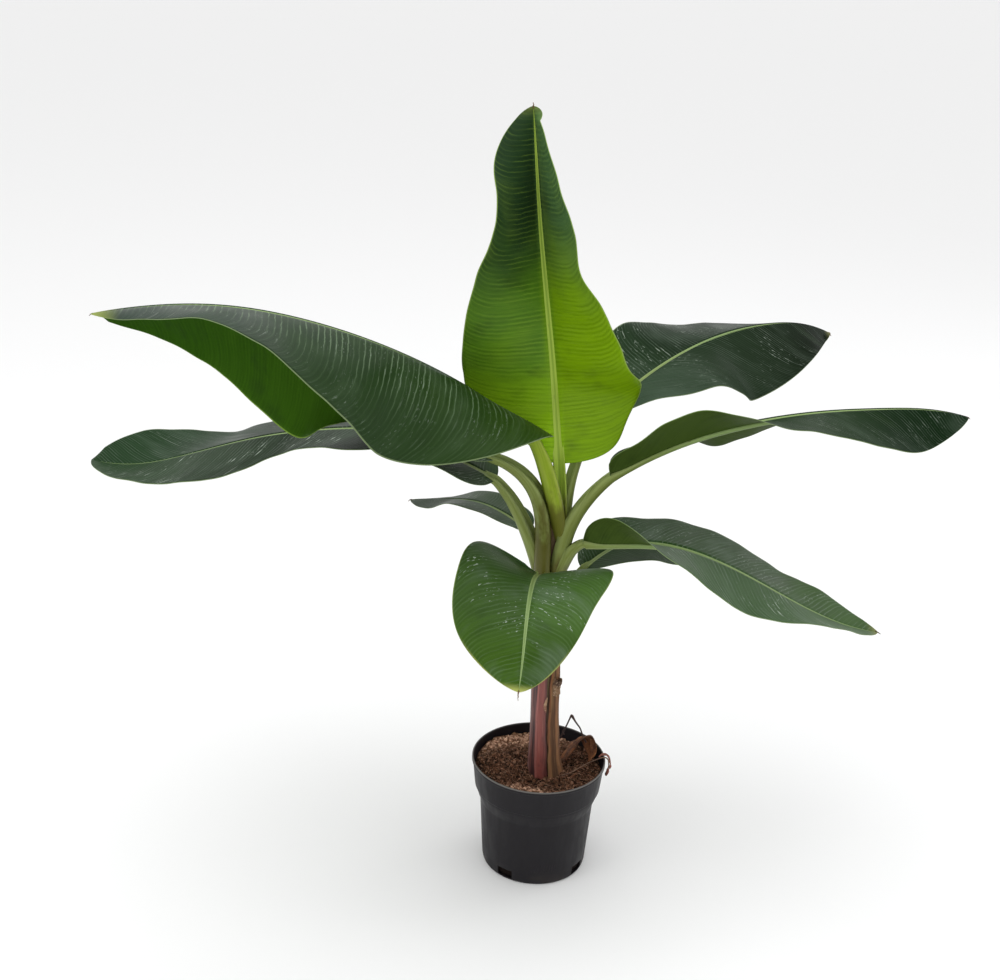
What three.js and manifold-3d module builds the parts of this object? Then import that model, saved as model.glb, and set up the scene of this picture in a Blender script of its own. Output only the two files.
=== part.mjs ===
// A young banana plant in a round nursery pot. Millimetres, +Z up, origin at the centre of the
// pot's flat underside. Seen from the front (-Y) the plant fans out to the left (-X), to the right
// (+X) and towards the viewer, with its newest leaf standing upright in the middle.
//
// A banana plant has no woody trunk: its stem is a bundle of leaf bases wrapped round each other.
// Each leaf leaves that bundle as a channelled stalk and goes on as a thin blade with one rib.
import * as THREE from 'three';
import { mergeVertices } from 'three/addons/utils/BufferGeometryUtils.js';
import Module from 'manifold-3d';

const wasm = await Module();
wasm.setup();

// Driving sizes

const GAP = 0.3;  // clear space between pieces that meet
const CUT = 0.4;  // how far a cutting neighbour is grown, as its corners reach less far

// A cone with a rounded foot widens through a sloping shoulder into the collar, and a plain band
// closes the rim. Slots round the foot let water out; turn is the first one's place, in slots.
const POT = {
  height: 184, foot: 82.5, footRound: 5, footBand: 9, waist: 89.5,
  shoulder: 112, shoulderRise: 24, collar: 98.8, rim: 105, rimHeight: 6, rimRound: 1,
  wall: 2.6, floor: 3.5, sides: 44,
  slots: { count: 4, width: 27, height: 15, foot: 4, depth: 14, turn: 0.628 },
};
// Heights and radii of the soil's mound; it thins out evenly towards the pot's wall.
const SOIL = { top: 166, dome: 4, shoulder: 1, slopeRadius: 70, slopeShare: 0.4, moundRadius: 34 };

// The stem leans and bends a little: its centre line and radius at evenly spaced heights.
const STEM = {
  foot: 150, top: 588, sides: 22, steps: 12,
  x: [10, 5, 2, -1, 3], y: [0, 0, 1, 1, 0], radius: [23, 19, 18.5, 17.5, 12],
};

// Old leaf bases still wrapped round the stem. Angles are seen from above, 0 = right, 270 = front.
const SHEATHS = [
  { name: 'red_sheath', from: 170.4, to: 438, thick: 2.6,
    start: [108, 116, 150, 215], end: [296, 292, 286, 262] },
  { name: 'dry_sheath', from: 170.4, to: 402, thick: 3.0,
    start: [300, 298, 306, 318], end: [462, 452, 430, 402] },
];
const SHEATH_STEPS = { up: 12, round: 12 };
const SHEATH_SEAT = 0.54;  // from the stem's skin to the inside of an old leaf base

// The dry broken end of an old stalk that stands off the stem's front right side.
const STUB = {
  root: [18.5, -11.5, 302], limb: { length: 34, rise: [88, 80, 64], head: 320, roll: 0 },
  radius: [7.8, 6], steps: 5,
};

// A stalk's section in shares of its radius: the lips of its channel, how deep the channel is and
// how far its bottom lies below the middle, the rounded back and how many degrees it goes round.
const CHANNEL = {
  lips: 0.82, hollow: 0.9, sink: 0.15, back: 0.92, round: 112,
  across: [-1, -0.72, -0.38, 0, 0.38, 0.72, 1],
};
const STALK_STEPS = { long: 10, short: 7, longFrom: 150 };

// A blade's thickness is a share of its length. Its stations lie closer together at both ends, by
// the share that follows a half wave. keel is the rib's depth below, least the half width at the
// tip, soft the width under which folds flatten out, and tilt the half thicknesses over which the
// sheet's own slope takes over from the rib's.
const BLADE = {
  thickness: 1 / 90, across: [0, 0.08, 0.36, 0.69, 1], long: 20, short: 14, longFrom: 300,
  bunching: 0.65, keel: 0.75, least: 2.2, soft: 26, tilt: 4, clear: 0.4,
};

// Ten leaves, newest first. Along the stalk and along the blade the rise above level and the
// heading (0 = right, 90 = back, 180 = left, 270 = front) go through evenly spaced values, in
// degrees. Each half of a blade has its own width, fold up from level and curl on towards the
// margin; right is the side on the right hand of someone who walks to the tip.
const LEAVES = [
  { name: 'top', root: [9.5, 0, 588.4],
    stalk: { length: 88.6, rise: [88, 85], head: 180, roll: -90, radius: [12, 9] },
    blade: { length: 508, rise: [83.8, 83.2, 81.7, 82, 83.8, 83.8], head: 180, roll: -90,
      widest: 0.32, blunt: 2, taper: [2.6, 0.7] },
    left: { width: 128, swell: [0.45, 0.65, 1, 1, 1, 1, 1, 1, 1, 1, 1],
      fold: [20, -6, -8, 2, 18, 30, 41, 54, 53, 30, 20] },
    right: { width: 128, swell: [1.4, 1.04, 1.02, 1, 1.01, 1.01, 0.87, 1.05, 1.06, 0.9, 0.9],
      fold: [10, 2, 3, 34, 46, 56, 63, 67, 71, 72, 71] } },
  { name: 'big_left', root: [14.8, -2.9, 562.4],
    stalk: { length: 168, rise: [78, 76, 70, 58], head: [192, 198], roll: 0,
      radius: [15, 16, 15, 11] },
    blade: { length: 663, rise: [45, 35, 28, 21, 12.5, 0, -10], head: [214, 203, 196, 193],
      roll: 0, widest: 0.42, blunt: 2, taper: [2, 0.8] },
    left: { width: 165, fold: [20, 14, -2, -16, -22, -11, -2, 6, 12, 8, 0],
      curl: [-10, -34, -52, -62, -50, -40, -32, -20, -14, -14, -14] },
    right: { width: 178, fold: [-38, -32, -31, -36, -48, -66, -58, -48, -43, -38, -40],
      curl: [-10, -16, -20, -20, -16, -16, -20, -20, -16, -14, -10] } },
  { name: 'right_back', root: [14.4, 12.5, 523.1],
    stalk: { length: 234, rise: [86, 86, 66, 42], head: 38, roll: 0, radius: [11.5, 10.5, 8.5, 6.5] },
    blade: { length: 466, rise: [36, 26, 16, 5, -6, -26], head: [36, 34, 32, 30], roll: 0,
      widest: 0.5, blunt: 2.4, taper: [2.2, 0.85] },
    left: { width: 112, fold: [25, 24, 22, 19, 5, -5, -10, -13, -22, -30, -30] },
    right: { width: 112, fold: [14, 10, -2, -8, -26, -50, -54, -52, -46, -40, -40] } },
  { name: 'low_left', root: [-8.2, -7.8, 501.6],
    stalk: { length: 214, rise: [88, 88, 74, 46, 16], head: 178, roll: 0,
      radius: [17, 17, 15, 12, 9] },
    blade: { length: 628, rise: [17, 9, -5, -12, -19, -15, 10], head: [172, 173, 174, 175],
      roll: 0, widest: 0.5, blunt: 2, taper: [3, 0.65] },
    left: { width: 115, swell: [0.6, 0.5, 0.6, 1, 0.7, 0.6, 0.95, 1, 1, 1, 1],
      fold: [-10, -8, 0, 2, 0, -9, -8, -6, -2, 4, 4] },
    right: { width: 112, fold: [0, -10, -5, -6, -6, -6, -5, -5, 8, 26, 36] } },
  { name: 'mid_right', root: [6.8, -5, 492.6],
    stalk: { length: 190, rise: [84, 78, 58, 42], head: 0, roll: 0, radius: [16, 15, 13, 10] },
    blade: { length: 528, rise: [37, 27, 18, 12, 6, 2, -14], head: 0, roll: 0,
      widest: 0.45, blunt: 2, taper: [2.4, 0.7] },
    left: { width: 92, fold: [40, 0, -12, -33, -32, -26, -28, -30, -35, -40, -40] },
    right: { width: 92, swell: [1, 1, 1, 1, 1.15, 1.3],
      fold: [60, 42, 45, 41, 24, 8, -2, -14, -30, -50, -50] } },
  { name: 'back', root: [-6.5, 5.6, 473],
    stalk: { length: 190, rise: [78, 72, 66, 58, 42], head: [178, 172], roll: 0,
      radius: [14, 14, 13, 11, 8] },
    blade: { length: 400, rise: [26, 10, 0, -8, -14, -16], head: [164, 150, 142, 138], roll: 0,
      widest: 0.42, blunt: 2, taper: [1.8, 0.8] },
    left: { width: 95, fold: [-10, 10, 11, 6, 5, 0, -6] },
    right: { width: 95, fold: [10, -8, -8, 0] } },
  { name: 'low_right', root: [-3.2, -4.4, 475.9],
    stalk: { length: 100, rise: [66, 66, 62, 26], head: [345, 350], roll: 0,
      radius: [14, 13.5, 12, 8.5] },
    blade: { length: 460, rise: [6, 6, -12, -23, -26, -20, -4], head: [350, 352, 354, 356],
      roll: 0, widest: 0.42, blunt: 2, taper: [2.2, 0.7] },
    left: { width: 98, fold: [30, 6, 2, 2, 0, 10, 5] },
    right: { width: 98, fold: [75, 50, 16, 2, -8, -6, 8, 14, 10] } },
  { name: 'low_back', root: [14.6, 12.7, 407.5],
    stalk: { length: 99, rise: [80, 62, 38], head: 38, roll: 0, radius: [12, 9.5, 7] },
    blade: { length: 320, rise: [30, 10, -8, -24, -30], head: [36, 32], roll: 0,
      widest: 0.42, blunt: 2, taper: [1.8, 0.8] },
    left: { width: 60, fold: [20, 10, 0, 0, 0] },
    right: { width: 66, fold: [10, -6, -32, -40, -40] } },
  { name: 'small_left', root: [-8, 14, 445],
    stalk: { length: 118, rise: [88, 84, 68, 40], head: 140, roll: 0, radius: [11, 10, 8, 5] },
    blade: { length: 250, rise: [18, 8, -10, -18, -14], head: [140, 142], roll: 0,
      widest: 0.42, blunt: 2, taper: [1.8, 0.8] },
    left: { width: 54, fold: [12, 13, 8, -6, -2] },
    right: { width: 54, fold: [10, -4, 0, -6, -14] } },
  { name: 'front', root: [-10, -17, 434],
    stalk: { length: 103, rise: [87, 76, 58, 40], head: [265, 262], roll: 0, radius: [12, 11, 9, 7] },
    blade: { length: 240, rise: [28, 8, -20, -42, -56, -58], head: [256, 262, 265, 260],
      roll: 0, widest: 0.42, blunt: 2.6, taper: [2.2, 0.7] },
    left: { width: 108, swell: [1.3, 1.08, 0.84, 0.74, 0.70], fold: [14, 7, 0, 0] },
    right: { width: 108, swell: [0.9, 1, 1, 1, 0.95], fold: [4, 18, 4, 0], curl: [40, 12, 0, 0] } },
];

// A dead leaf that has dropped from the stem's foot across the soil and over the rim.
const DEAD_LEAF = {
  root: [38.5, 4, 174], thickness: 2.4, rib: 4, steps: 12,
  blade: { length: 92, rise: [30, 16, 12, -6, -62], head: [-6, 4, 2], roll: 0,
    widest: 0.45, blunt: 2, taper: [1.6, 0.9] },
  left: { width: 15, fold: [30, 24, 18, 20] },
  right: { width: 13, fold: [26, 30, 20, 10] },
};

// Colour and roughness of each piece.
const LOOKS = {
  pot: [0x1d1e20, 0.62], root_ball: [0x4a3020, 0.98], pseudostem: [0x7a7446, 0.7],
  red_sheath: [0x8c4138, 0.6], dry_sheath: [0x7b5636, 0.9], old_stub: [0x8a6a44, 0.9],
  dead_leaf: [0x6e4426, 0.9], petiole: [0x9aa95a, 0.55], leaf: [0x2f5a2c, 0.5],
  leaf_top: [0x5f8f1e, 0.5],
};

// Ramps and directions

const RAD = Math.PI / 180;
const WALK_STEPS = 240;  // steps in which a limb's curve is followed
const FLAT = 1e-4;       // a turn smaller than this counts as a straight line
const V = (x, y, z) => new THREE.Vector3(x, y, z);

// A smooth run through evenly spaced values, t from 0 to 1.
function ramp(values, t) {
  if (!Array.isArray(values)) return values;
  const last = values.length - 1;
  const x = Math.min(Math.max(t, 0), 1) * last;
  const i = Math.min(Math.floor(x), last - 1);
  const f = x - i;
  const p1 = values[i], p2 = values[i + 1];
  const p0 = i > 0 ? values[i - 1] : 2 * p1 - p2;
  const p3 = i + 2 <= last ? values[i + 2] : 2 * p2 - p1;
  return 0.5 * (2 * p1 + (p2 - p0) * f + (2 * p0 - 5 * p1 + 4 * p2 - p3) * f * f
    + (3 * p1 - 3 * p2 + p3 - p0) * f ** 3);
}

// Forward, upper-side normal and right-hand side for a rise, a heading and a roll.
function axes(rise, head, roll) {
  const r = rise * RAD, h = head * RAD, w = roll * RAD;
  const forward = V(Math.cos(r) * Math.cos(h), Math.cos(r) * Math.sin(h), Math.sin(r));
  const level = V(-Math.sin(r) * Math.cos(h), -Math.sin(r) * Math.sin(h), Math.cos(r));
  const side = forward.clone().cross(level);
  const normal = level.multiplyScalar(Math.cos(w)).addScaledVector(side, Math.sin(w));
  return { forward, normal, right: forward.clone().cross(normal) };
}

// Walk a limb from a point in small steps, with a frame at each t asked for.
function walk(start, limb, stations) {
  const point = start.clone();
  const frames = [];
  let next = 0;
  for (let i = 0; i <= WALK_STEPS; i++) {
    const t = i / WALK_STEPS;
    while (next < stations.length && stations[next] <= t + 1e-9) {
      frames.push({ t: stations[next], point: point.clone(),
        ...axes(ramp(limb.rise, t), ramp(limb.head, t), ramp(limb.roll, t)) });
      next++;
    }
    const mid = t + 0.5 / WALK_STEPS;
    const ahead = axes(ramp(limb.rise, mid), ramp(limb.head, mid), 0).forward;
    point.addScaledVector(ahead, limb.length / WALK_STEPS);
  }
  return frames;
}

const spread = (n) => Array.from({ length: n + 1 }, (_, i) => i / n);

// Closed bodies

// A solid from a closed geometry: shared corners are merged and the empty faces at a pole left out.
function solidOf(geometry) {
  geometry.deleteAttribute('normal');
  geometry.deleteAttribute('uv');
  const merged = mergeVertices(geometry);
  const index = merged.index.array;
  const triVerts = [];
  for (let i = 0; i < index.length; i += 3) {
    const [a, b, c] = [index[i], index[i + 1], index[i + 2]];
    if (a !== b && b !== c && c !== a) triVerts.push(a, b, c);
  }
  return new wasm.Manifold(new wasm.Mesh({
    numProp: 3, vertProperties: merged.attributes.position.array, triVerts: new Uint32Array(triVerts),
  }));
}

// Every corner of a geometry goes where place(corner) says.
function moved(geometry, place) {
  const position = geometry.attributes.position;
  for (let i = 0; i < position.count; i++) {
    const p = place(V(position.getX(i), position.getY(i), position.getZ(i)));
    position.setXYZ(i, p.x, p.y, p.z);
  }
  return geometry;
}

// A closed body between two rows of points at each station, the upper and the lower one: a box
// whose corners are counted off and moved to them.
function ribbon(stations) {
  const rows = stations.length - 1, columns = stations[0].upper.length - 1;
  const box = new THREE.BoxGeometry(1, 1, 1, columns, 1, rows);
  return solidOf(moved(box, (v) => {
    const station = stations[Math.round((0.5 - v.z) * rows)];
    return (v.y > 0 ? station.upper : station.lower)[Math.round((v.x + 0.5) * columns)];
  }));
}

// A body of revolution about the pot's axis, from a run of [radius, height] that starts and ends
// on the axis.
function turned(profile, sides) {
  const points = profile.map(([r, z]) => new THREE.Vector2(r, z));
  return solidOf(new THREE.LatheGeometry(points, sides).rotateX(Math.PI / 2));
}

// Cut neighbours away and keep the one largest piece that is left.
function cutClear(solid, neighbours) {
  for (const other of neighbours) solid = solid.subtract(other);
  const parts = solid.decompose();
  return parts.reduce((best, p) => (p.volume() > best.volume() ? p : best), parts[0]);
}

// The pieces

function makePot() {
  const p = POT;
  const inner = p.foot - p.wall;
  const shell = turned([
    [0, 0], [p.foot - p.footRound, 0], [p.foot - p.footRound / 3, p.footRound / 2],
    [p.foot, p.footBand], [p.waist, p.shoulder], [p.collar, p.shoulder + p.shoulderRise],
    [p.rim - 2 * p.rimRound, p.height - p.rimHeight], [p.rim, p.height - p.rimHeight + p.rimRound],
    [p.rim, p.height - p.rimRound], [p.rim - p.rimRound, p.height], [p.rim - p.wall, p.height],
    [p.collar - p.wall, p.shoulder + p.shoulderRise], [p.waist - p.wall, p.shoulder],
    [inner, p.footBand], [inner - p.footRound / 2, p.floor], [0, p.floor],
  ], p.sides);
  const slots = Array.from({ length: p.slots.count }, (_, k) => {
    const box = new THREE.BoxGeometry(p.slots.depth, p.slots.width, p.slots.height);
    box.translate(p.foot, 0, p.slots.foot + p.slots.height / 2);
    return solidOf(box.rotateZ((k + p.slots.turn) * (360 / p.slots.count) * RAD));
  });
  return cutClear(shell, slots);
}

function stemSection(z, grow) {
  const t = (z - STEM.foot) / (STEM.top - STEM.foot);
  return { x: ramp(STEM.x, t), y: ramp(STEM.y, t), r: ramp(STEM.radius, t) + grow };
}

// The stem is a cylinder whose rings are moved onto the centre line and widened.
function makeStem(grow = 0) {
  const foot = STEM.foot - grow, top = STEM.top + grow;
  const column = new THREE.CylinderGeometry(1, 1, 1, STEM.sides, STEM.steps).rotateX(Math.PI / 2);
  return solidOf(moved(column, (v) => {
    const z = foot + (top - foot) * (v.z + 0.5);
    const s = stemSection(z, grow);
    return V(s.x + s.r * v.x, s.y + s.r * v.y, z);
  }));
}

// The soil fills the pot's inside, a gap away from its walls, and rises to a low mound.
function makeSoil() {
  const between = (low, high, share) => low + (high - low) * share;
  const coneInside = (z) => between(POT.foot, POT.waist,
    (z - POT.footBand) / (POT.shoulder - POT.footBand)) - POT.wall - GAP;
  const neck = POT.shoulder + POT.shoulderRise;
  const collarInside = (z) => between(POT.collar, POT.rim,
    (z - neck) / (POT.height - neck)) - POT.wall - GAP;
  return turned([
    [0, POT.floor + GAP], [coneInside(POT.footBand) - POT.footRound / 2, POT.floor + GAP],
    [coneInside(POT.footBand), POT.footBand], [coneInside(POT.shoulder), POT.shoulder],
    [collarInside(neck), neck],
    [collarInside(SOIL.top) - SOIL.shoulder, SOIL.top - SOIL.shoulder],
    [SOIL.slopeRadius, SOIL.top + SOIL.dome * SOIL.slopeShare],
    [SOIL.moundRadius, SOIL.top + SOIL.dome], [0, SOIL.top + SOIL.dome],
  ], POT.sides);
}

// A partial shell round the stem, between a start and an end angle that change with height.
function makeSheath(spec, grow = 0) {
  return ribbon(spread(SHEATH_STEPS.up).map((t) => {
    const z = spec.from - grow + (spec.to - spec.from + 2 * grow) * t;
    const s = stemSection(z, 0);
    const a0 = ramp(spec.start, t) - grow, a1 = ramp(spec.end, t) + grow;
    const arc = (r) => spread(SHEATH_STEPS.round).map((v) => {
      const a = (a0 + (a1 - a0) * v) * RAD;
      return V(s.x + r * Math.cos(a), s.y + r * Math.sin(a), z);
    });
    return { upper: arc(s.r + GAP + spec.thick + grow), lower: arc(s.r + SHEATH_SEAT - grow) };
  }));
}

// The section of a stalk: round below and hollowed above into the channel that leads rain down.
// A grown section is lifted more towards its steep lips, and widened at the lips alone.
function channel(f, r, grow = 0) {
  const c = CHANNEL;
  const place = (x, y) => f.point.clone().addScaledVector(f.right, x).addScaledVector(f.normal, y);
  return {
    upper: c.across.map((v) => place(c.lips * r * v + grow * Math.trunc(v),
      r * (c.hollow * v * v - c.sink) + 2 * grow * (1 + Math.abs(v)))),
    lower: c.across.map((v) => place((r + grow) * Math.sin(v * c.round * RAD),
      -(c.back * r + grow) * Math.cos(v * c.round * RAD))),
  };
}

function makeStub() {
  const frames = walk(V(...STUB.root), STUB.limb, spread(STUB.steps));
  return ribbon(frames.map((f) => channel(f, ramp(STUB.radius, f.t))));
}

function makePetiole(leaf, grow = 0) {
  const steps = leaf.stalk.length > STALK_STEPS.longFrom ? STALK_STEPS.long : STALK_STEPS.short;
  const frames = walk(V(...leaf.root), leaf.stalk, spread(steps));
  frames[0].point.addScaledVector(frames[0].forward, -grow);
  frames[frames.length - 1].point.addScaledVector(frames[frames.length - 1].forward, grow);
  return ribbon(frames.map((f) => channel(f, ramp(leaf.stalk.radius, f.t), grow)));
}

// The outline of a half blade: 0 at both ends and 1 at its widest.
function outline(t, { widest, blunt, taper }) {
  if (t < widest) return Math.max(0, 1 - (1 - t / widest) ** blunt) ** (1 / blunt);
  return Math.max(0, 1 - ((t - widest) / (1 - widest)) ** taper[0]) ** taper[1];
}

// Travel along and up of a line of length d that leaves at one slope and turns by another angle.
function lateral(slope, turn, d) {
  if (Math.abs(turn) < FLAT) return [d * Math.cos(slope), d * Math.sin(slope)];
  return [d * (Math.sin(slope + turn) - Math.sin(slope)) / turn,
    -d * (Math.cos(slope + turn) - Math.cos(slope)) / turn];
}

// One station across a blade: the sheet is half thick to either side and has a keel under its rib.
function bladeSection(leaf, f, half, base) {
  const keel = base * (1 - f.t) * BLADE.keel;
  const upper = [], lower = [];
  for (const side of [-1, 1]) {
    const shape = side > 0 ? leaf.right : leaf.left;
    const least = base * (1 - f.t) + BLADE.least * f.t;
    const width = Math.max(least, shape.width * outline(f.t, leaf.blade) * ramp(shape.swell ?? 1, f.t));
    const ease = Math.min(1, width / BLADE.soft);
    const fold = ramp(shape.fold, f.t) * RAD * ease;
    const curl = ramp(shape.curl ?? 0, f.t) * RAD * ease;
    const steps = side > 0 ? BLADE.across : BLADE.across.slice(1).reverse();
    for (const u of steps) {
      const [along, up] = lateral(fold, curl * u, width * u);
      const tilt = (fold + curl * u) * Math.min(1, (width * u) / (BLADE.tilt * half));
      const normal = f.normal.clone().multiplyScalar(Math.cos(tilt))
        .addScaledVector(f.right, -side * Math.sin(tilt));
      const middle = f.point.clone().addScaledVector(f.right, side * along).addScaledVector(f.normal, up);
      upper.push(middle.clone().addScaledVector(normal, half));
      lower.push(middle.clone().addScaledVector(normal, -half - (u === 0 ? keel : 0)));
    }
  }
  return { upper, lower };
}

function makeBlade(leaf) {
  const end = walk(V(...leaf.root), leaf.stalk, [1])[0];
  const start = end.point.addScaledVector(end.forward, BLADE.clear);
  const base = ramp(leaf.stalk.radius, 1);
  const half = (leaf.blade.length * BLADE.thickness) / 2;
  const steps = leaf.blade.length > BLADE.longFrom ? BLADE.long : BLADE.short;
  const wave = (t) => (1 - Math.cos(Math.PI * t)) / 2;
  const stations = spread(steps).map((t) => (1 - BLADE.bunching) * t + BLADE.bunching * wave(t));
  return ribbon(walk(start, leaf.blade, stations).map((f) => bladeSection(leaf, f, half, base)));
}

function makeDeadLeaf() {
  const frames = walk(V(...DEAD_LEAF.root), DEAD_LEAF.blade, spread(DEAD_LEAF.steps));
  return ribbon(frames.map((f) => bladeSection(DEAD_LEAF, f, DEAD_LEAF.thickness / 2, DEAD_LEAF.rib)));
}

// Assembly

const group = new THREE.Group();
group.name = 'banana_plant';

function add(name, solid, look) {
  const mesh = solid.getMesh();
  const stride = mesh.numProp;
  const count = mesh.vertProperties.length / stride;
  const position = new Float32Array(count * 3);
  for (let i = 0; i < count; i++) {
    for (let c = 0; c < 3; c++) position[3 * i + c] = mesh.vertProperties[stride * i + c];
  }
  const geometry = new THREE.BufferGeometry();
  geometry.setAttribute('position', new THREE.BufferAttribute(position, 3));
  geometry.setIndex(new THREE.BufferAttribute(new Uint32Array(mesh.triVerts), 1));
  geometry.computeVertexNormals();
  const [color, roughness] = LOOKS[look];
  const part = new THREE.Mesh(geometry, new THREE.MeshStandardMaterial({ color, roughness, metalness: 0 }));
  part.name = name;
  group.add(part);
}

const stemGrown = makeStem(GAP);
const sheathsGrown = SHEATHS.map((s) => makeSheath(s, CUT));

add('pot', makePot(), 'pot');
add('root_ball', cutClear(makeSoil(), [stemGrown]), 'root_ball');
add('pseudostem', makeStem(), 'pseudostem');
add('red_sheath', cutClear(makeSheath(SHEATHS[0]), [stemGrown]), 'red_sheath');
add('dry_sheath', cutClear(makeSheath(SHEATHS[1]), [stemGrown, sheathsGrown[0]]), 'dry_sheath');
add('old_stub', cutClear(makeStub(), [stemGrown, ...sheathsGrown]), 'old_stub');
add('dead_leaf', makeDeadLeaf(), 'dead_leaf');

// Each stalk is cut clear of the stem and of the younger stalks that it clasps, then each blade
// of every stalk.
const stalksGrown = LEAVES.map((leaf) => makePetiole(leaf, CUT));
LEAVES.forEach((leaf, i) => {
  const around = [stemGrown, ...sheathsGrown, ...stalksGrown.slice(0, i)];
  add(`petiole_${leaf.name}`, cutClear(makePetiole(leaf), around), 'petiole');
});
LEAVES.forEach((leaf, i) => {
  const around = [stemGrown, ...sheathsGrown, ...stalksGrown];
  add(`leaf_${leaf.name}`, cutClear(makeBlade(leaf), around), i === 0 ? 'leaf_top' : 'leaf');
});

export default group;
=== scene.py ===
# %% [markdown]
# # A young banana plant in a nursery pot
#
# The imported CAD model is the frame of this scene: it says where the pot, the stem, each leaf stalk
# and each blade are. Here every one of them gets its real surface. The pieces are grown by the same
# few rules as the solids, from the same named sizes, and carried on to what a solid can't hold:
# paper-thin blades, sunken ribs, veins, papery old leaf bases and a crumbly pot of peat.

# %% Load the frame
import math
import random

import bmesh
import bpy
from mathutils import Matrix, Vector, noise


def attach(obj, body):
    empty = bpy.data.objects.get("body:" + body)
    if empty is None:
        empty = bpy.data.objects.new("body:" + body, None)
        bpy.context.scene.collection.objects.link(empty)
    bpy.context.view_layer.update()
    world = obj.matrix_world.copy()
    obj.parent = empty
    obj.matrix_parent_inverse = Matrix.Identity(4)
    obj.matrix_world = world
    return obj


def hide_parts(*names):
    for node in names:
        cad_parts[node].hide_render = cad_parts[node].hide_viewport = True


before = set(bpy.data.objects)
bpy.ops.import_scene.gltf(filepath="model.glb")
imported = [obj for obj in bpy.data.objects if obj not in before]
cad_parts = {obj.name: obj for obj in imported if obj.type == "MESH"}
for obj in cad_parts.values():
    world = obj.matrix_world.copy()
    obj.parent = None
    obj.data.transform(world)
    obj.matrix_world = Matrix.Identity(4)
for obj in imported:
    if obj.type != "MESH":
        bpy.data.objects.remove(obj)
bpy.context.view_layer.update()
MM = 0.001
# Vector noise shifts by a seed that Blender takes from the clock unless one is set here.
noise.seed_set(5)

# %% [markdown]
# ## Camera, floor and light
#
# The photograph looks down on the plant by about twenty degrees from two metres away, and its
# camera leans a little, so the stem stands slightly askew in the picture. The floor is one wide
# pale disc: a backdrop that curves up behind the plant would do for one view only, and the disc
# serves all of them. Daylight from a white room is soft, so the lamps are large and the world adds
# an even glow.

# %% Camera
CAMERA = {"x": -0.080, "y": -2.0, "z": 1.415, "pitch": 21.4, "roll": 2.6, "lens": 52.78, "film": 36}

pitch, roll = math.radians(CAMERA["pitch"]), math.radians(CAMERA["roll"])
looking = Vector((0, math.cos(pitch), -math.sin(pitch)))
upright = Vector((0, math.sin(pitch), math.cos(pitch)))
right_hand = Vector((1, 0, 0)) * math.cos(roll) + upright * math.sin(roll)
overhead = upright * math.cos(roll) - Vector((1, 0, 0)) * math.sin(roll)

camera = bpy.data.objects.new("camera", bpy.data.cameras.new("camera"))
bpy.context.scene.collection.objects.link(camera)
camera.data.lens = CAMERA["lens"]
camera.data.sensor_width = CAMERA["film"]
facing = Matrix((right_hand, overhead, -looking)).transposed().to_4x4()
camera.matrix_world = Matrix.Translation((CAMERA["x"], CAMERA["y"], CAMERA["z"])) @ facing
bpy.context.scene.camera = camera
print("camera at", tuple(round(v, 3) for v in camera.location))

# %% Floor and lamps
PLANT_MIDDLE = Vector((0, 0, 0.6))
FLOOR_RADIUS = 45
FLOOR_WHITE = (0.90, 0.90, 0.90)
ROOM_GLOW = 0.96


def lamp(name, place, size, power, colour):
    """A large round lamp that faces the middle of the plant."""
    light = bpy.data.lights.new(name, "AREA")
    light.shape = "DISK"
    light.size = size
    light.energy = power
    light.color = colour
    holder = bpy.data.objects.new(name, light)
    bpy.context.scene.collection.objects.link(holder)
    holder.location = place
    holder.rotation_mode = "QUATERNION"
    holder.rotation_quaternion = (Vector(place) - PLANT_MIDDLE).to_track_quat("Z", "Y")


def plain(name, colour, rough):
    material = bpy.data.materials.new(name)
    material.use_nodes = True
    shader = material.node_tree.nodes["Principled BSDF"]
    shader.inputs["Base Color"].default_value = (*colour, 1)
    shader.inputs["Roughness"].default_value = rough
    return material


disc = bmesh.new()
bmesh.ops.create_circle(disc, cap_ends=True, segments=96, radius=FLOOR_RADIUS)
floor_mesh = bpy.data.meshes.new("floor")
disc.to_mesh(floor_mesh)
disc.free()
floor_mesh.materials.append(plain("pale_floor", FLOOR_WHITE, 0.8))
floor = bpy.data.objects.new("floor", floor_mesh)
bpy.context.scene.collection.objects.link(floor)

lamp("sky_panel", (-0.6, -0.6, 4.2), 3.6, 42, (0.97, 0.99, 1.0))
lamp("window_left", (-3.2, -2.2, 2.2), 2.4, 26, (1.0, 0.99, 0.97))
lamp("window_right", (3.0, 1.6, 2.4), 2.2, 18, (0.97, 0.98, 1.0))

world = bpy.data.worlds.new("white_room")
world.use_nodes = True
world.node_tree.nodes["Background"].inputs["Color"].default_value = (1.0, 1.0, 1.0, 1)
world.node_tree.nodes["Background"].inputs["Strength"].default_value = ROOM_GLOW
bpy.context.scene.world = world
bpy.context.scene.view_settings.view_transform = "Standard"
print("stage set")

# %% [markdown]
# ## The leaf rule
#
# Every leaf is grown from a handful of named sizes. A limb is walked from its root in small steps:
# its rise above level and its heading change smoothly, so it bends as a real stalk does. The walk
# leaves a frame at each step: where it is, which way is the upper side and which way is right.
# The same rule made the solids, so each fine piece lands on the solid that it stands for. Curves
# drawn by hand would do for one leaf, but ten leaves that match ten solids need one rule.

# %% Ramps and walks
def ramp(values, t):
    """A smooth run through evenly spaced values, t from 0 to 1."""
    if not isinstance(values, (list, tuple)):
        return values
    last = len(values) - 1
    x = min(max(t, 0), 1) * last
    i = min(int(x), last - 1)
    f = x - i
    b, c = values[i], values[i + 1]
    a = values[i - 1] if i > 0 else 2 * b - c
    d = values[i + 2] if i + 2 <= last else 2 * c - b
    return 0.5 * (2 * b + (c - a) * f + (2 * a - 5 * b + 4 * c - d) * f * f
                  + (3 * b - 3 * c + d - a) * f ** 3)


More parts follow.
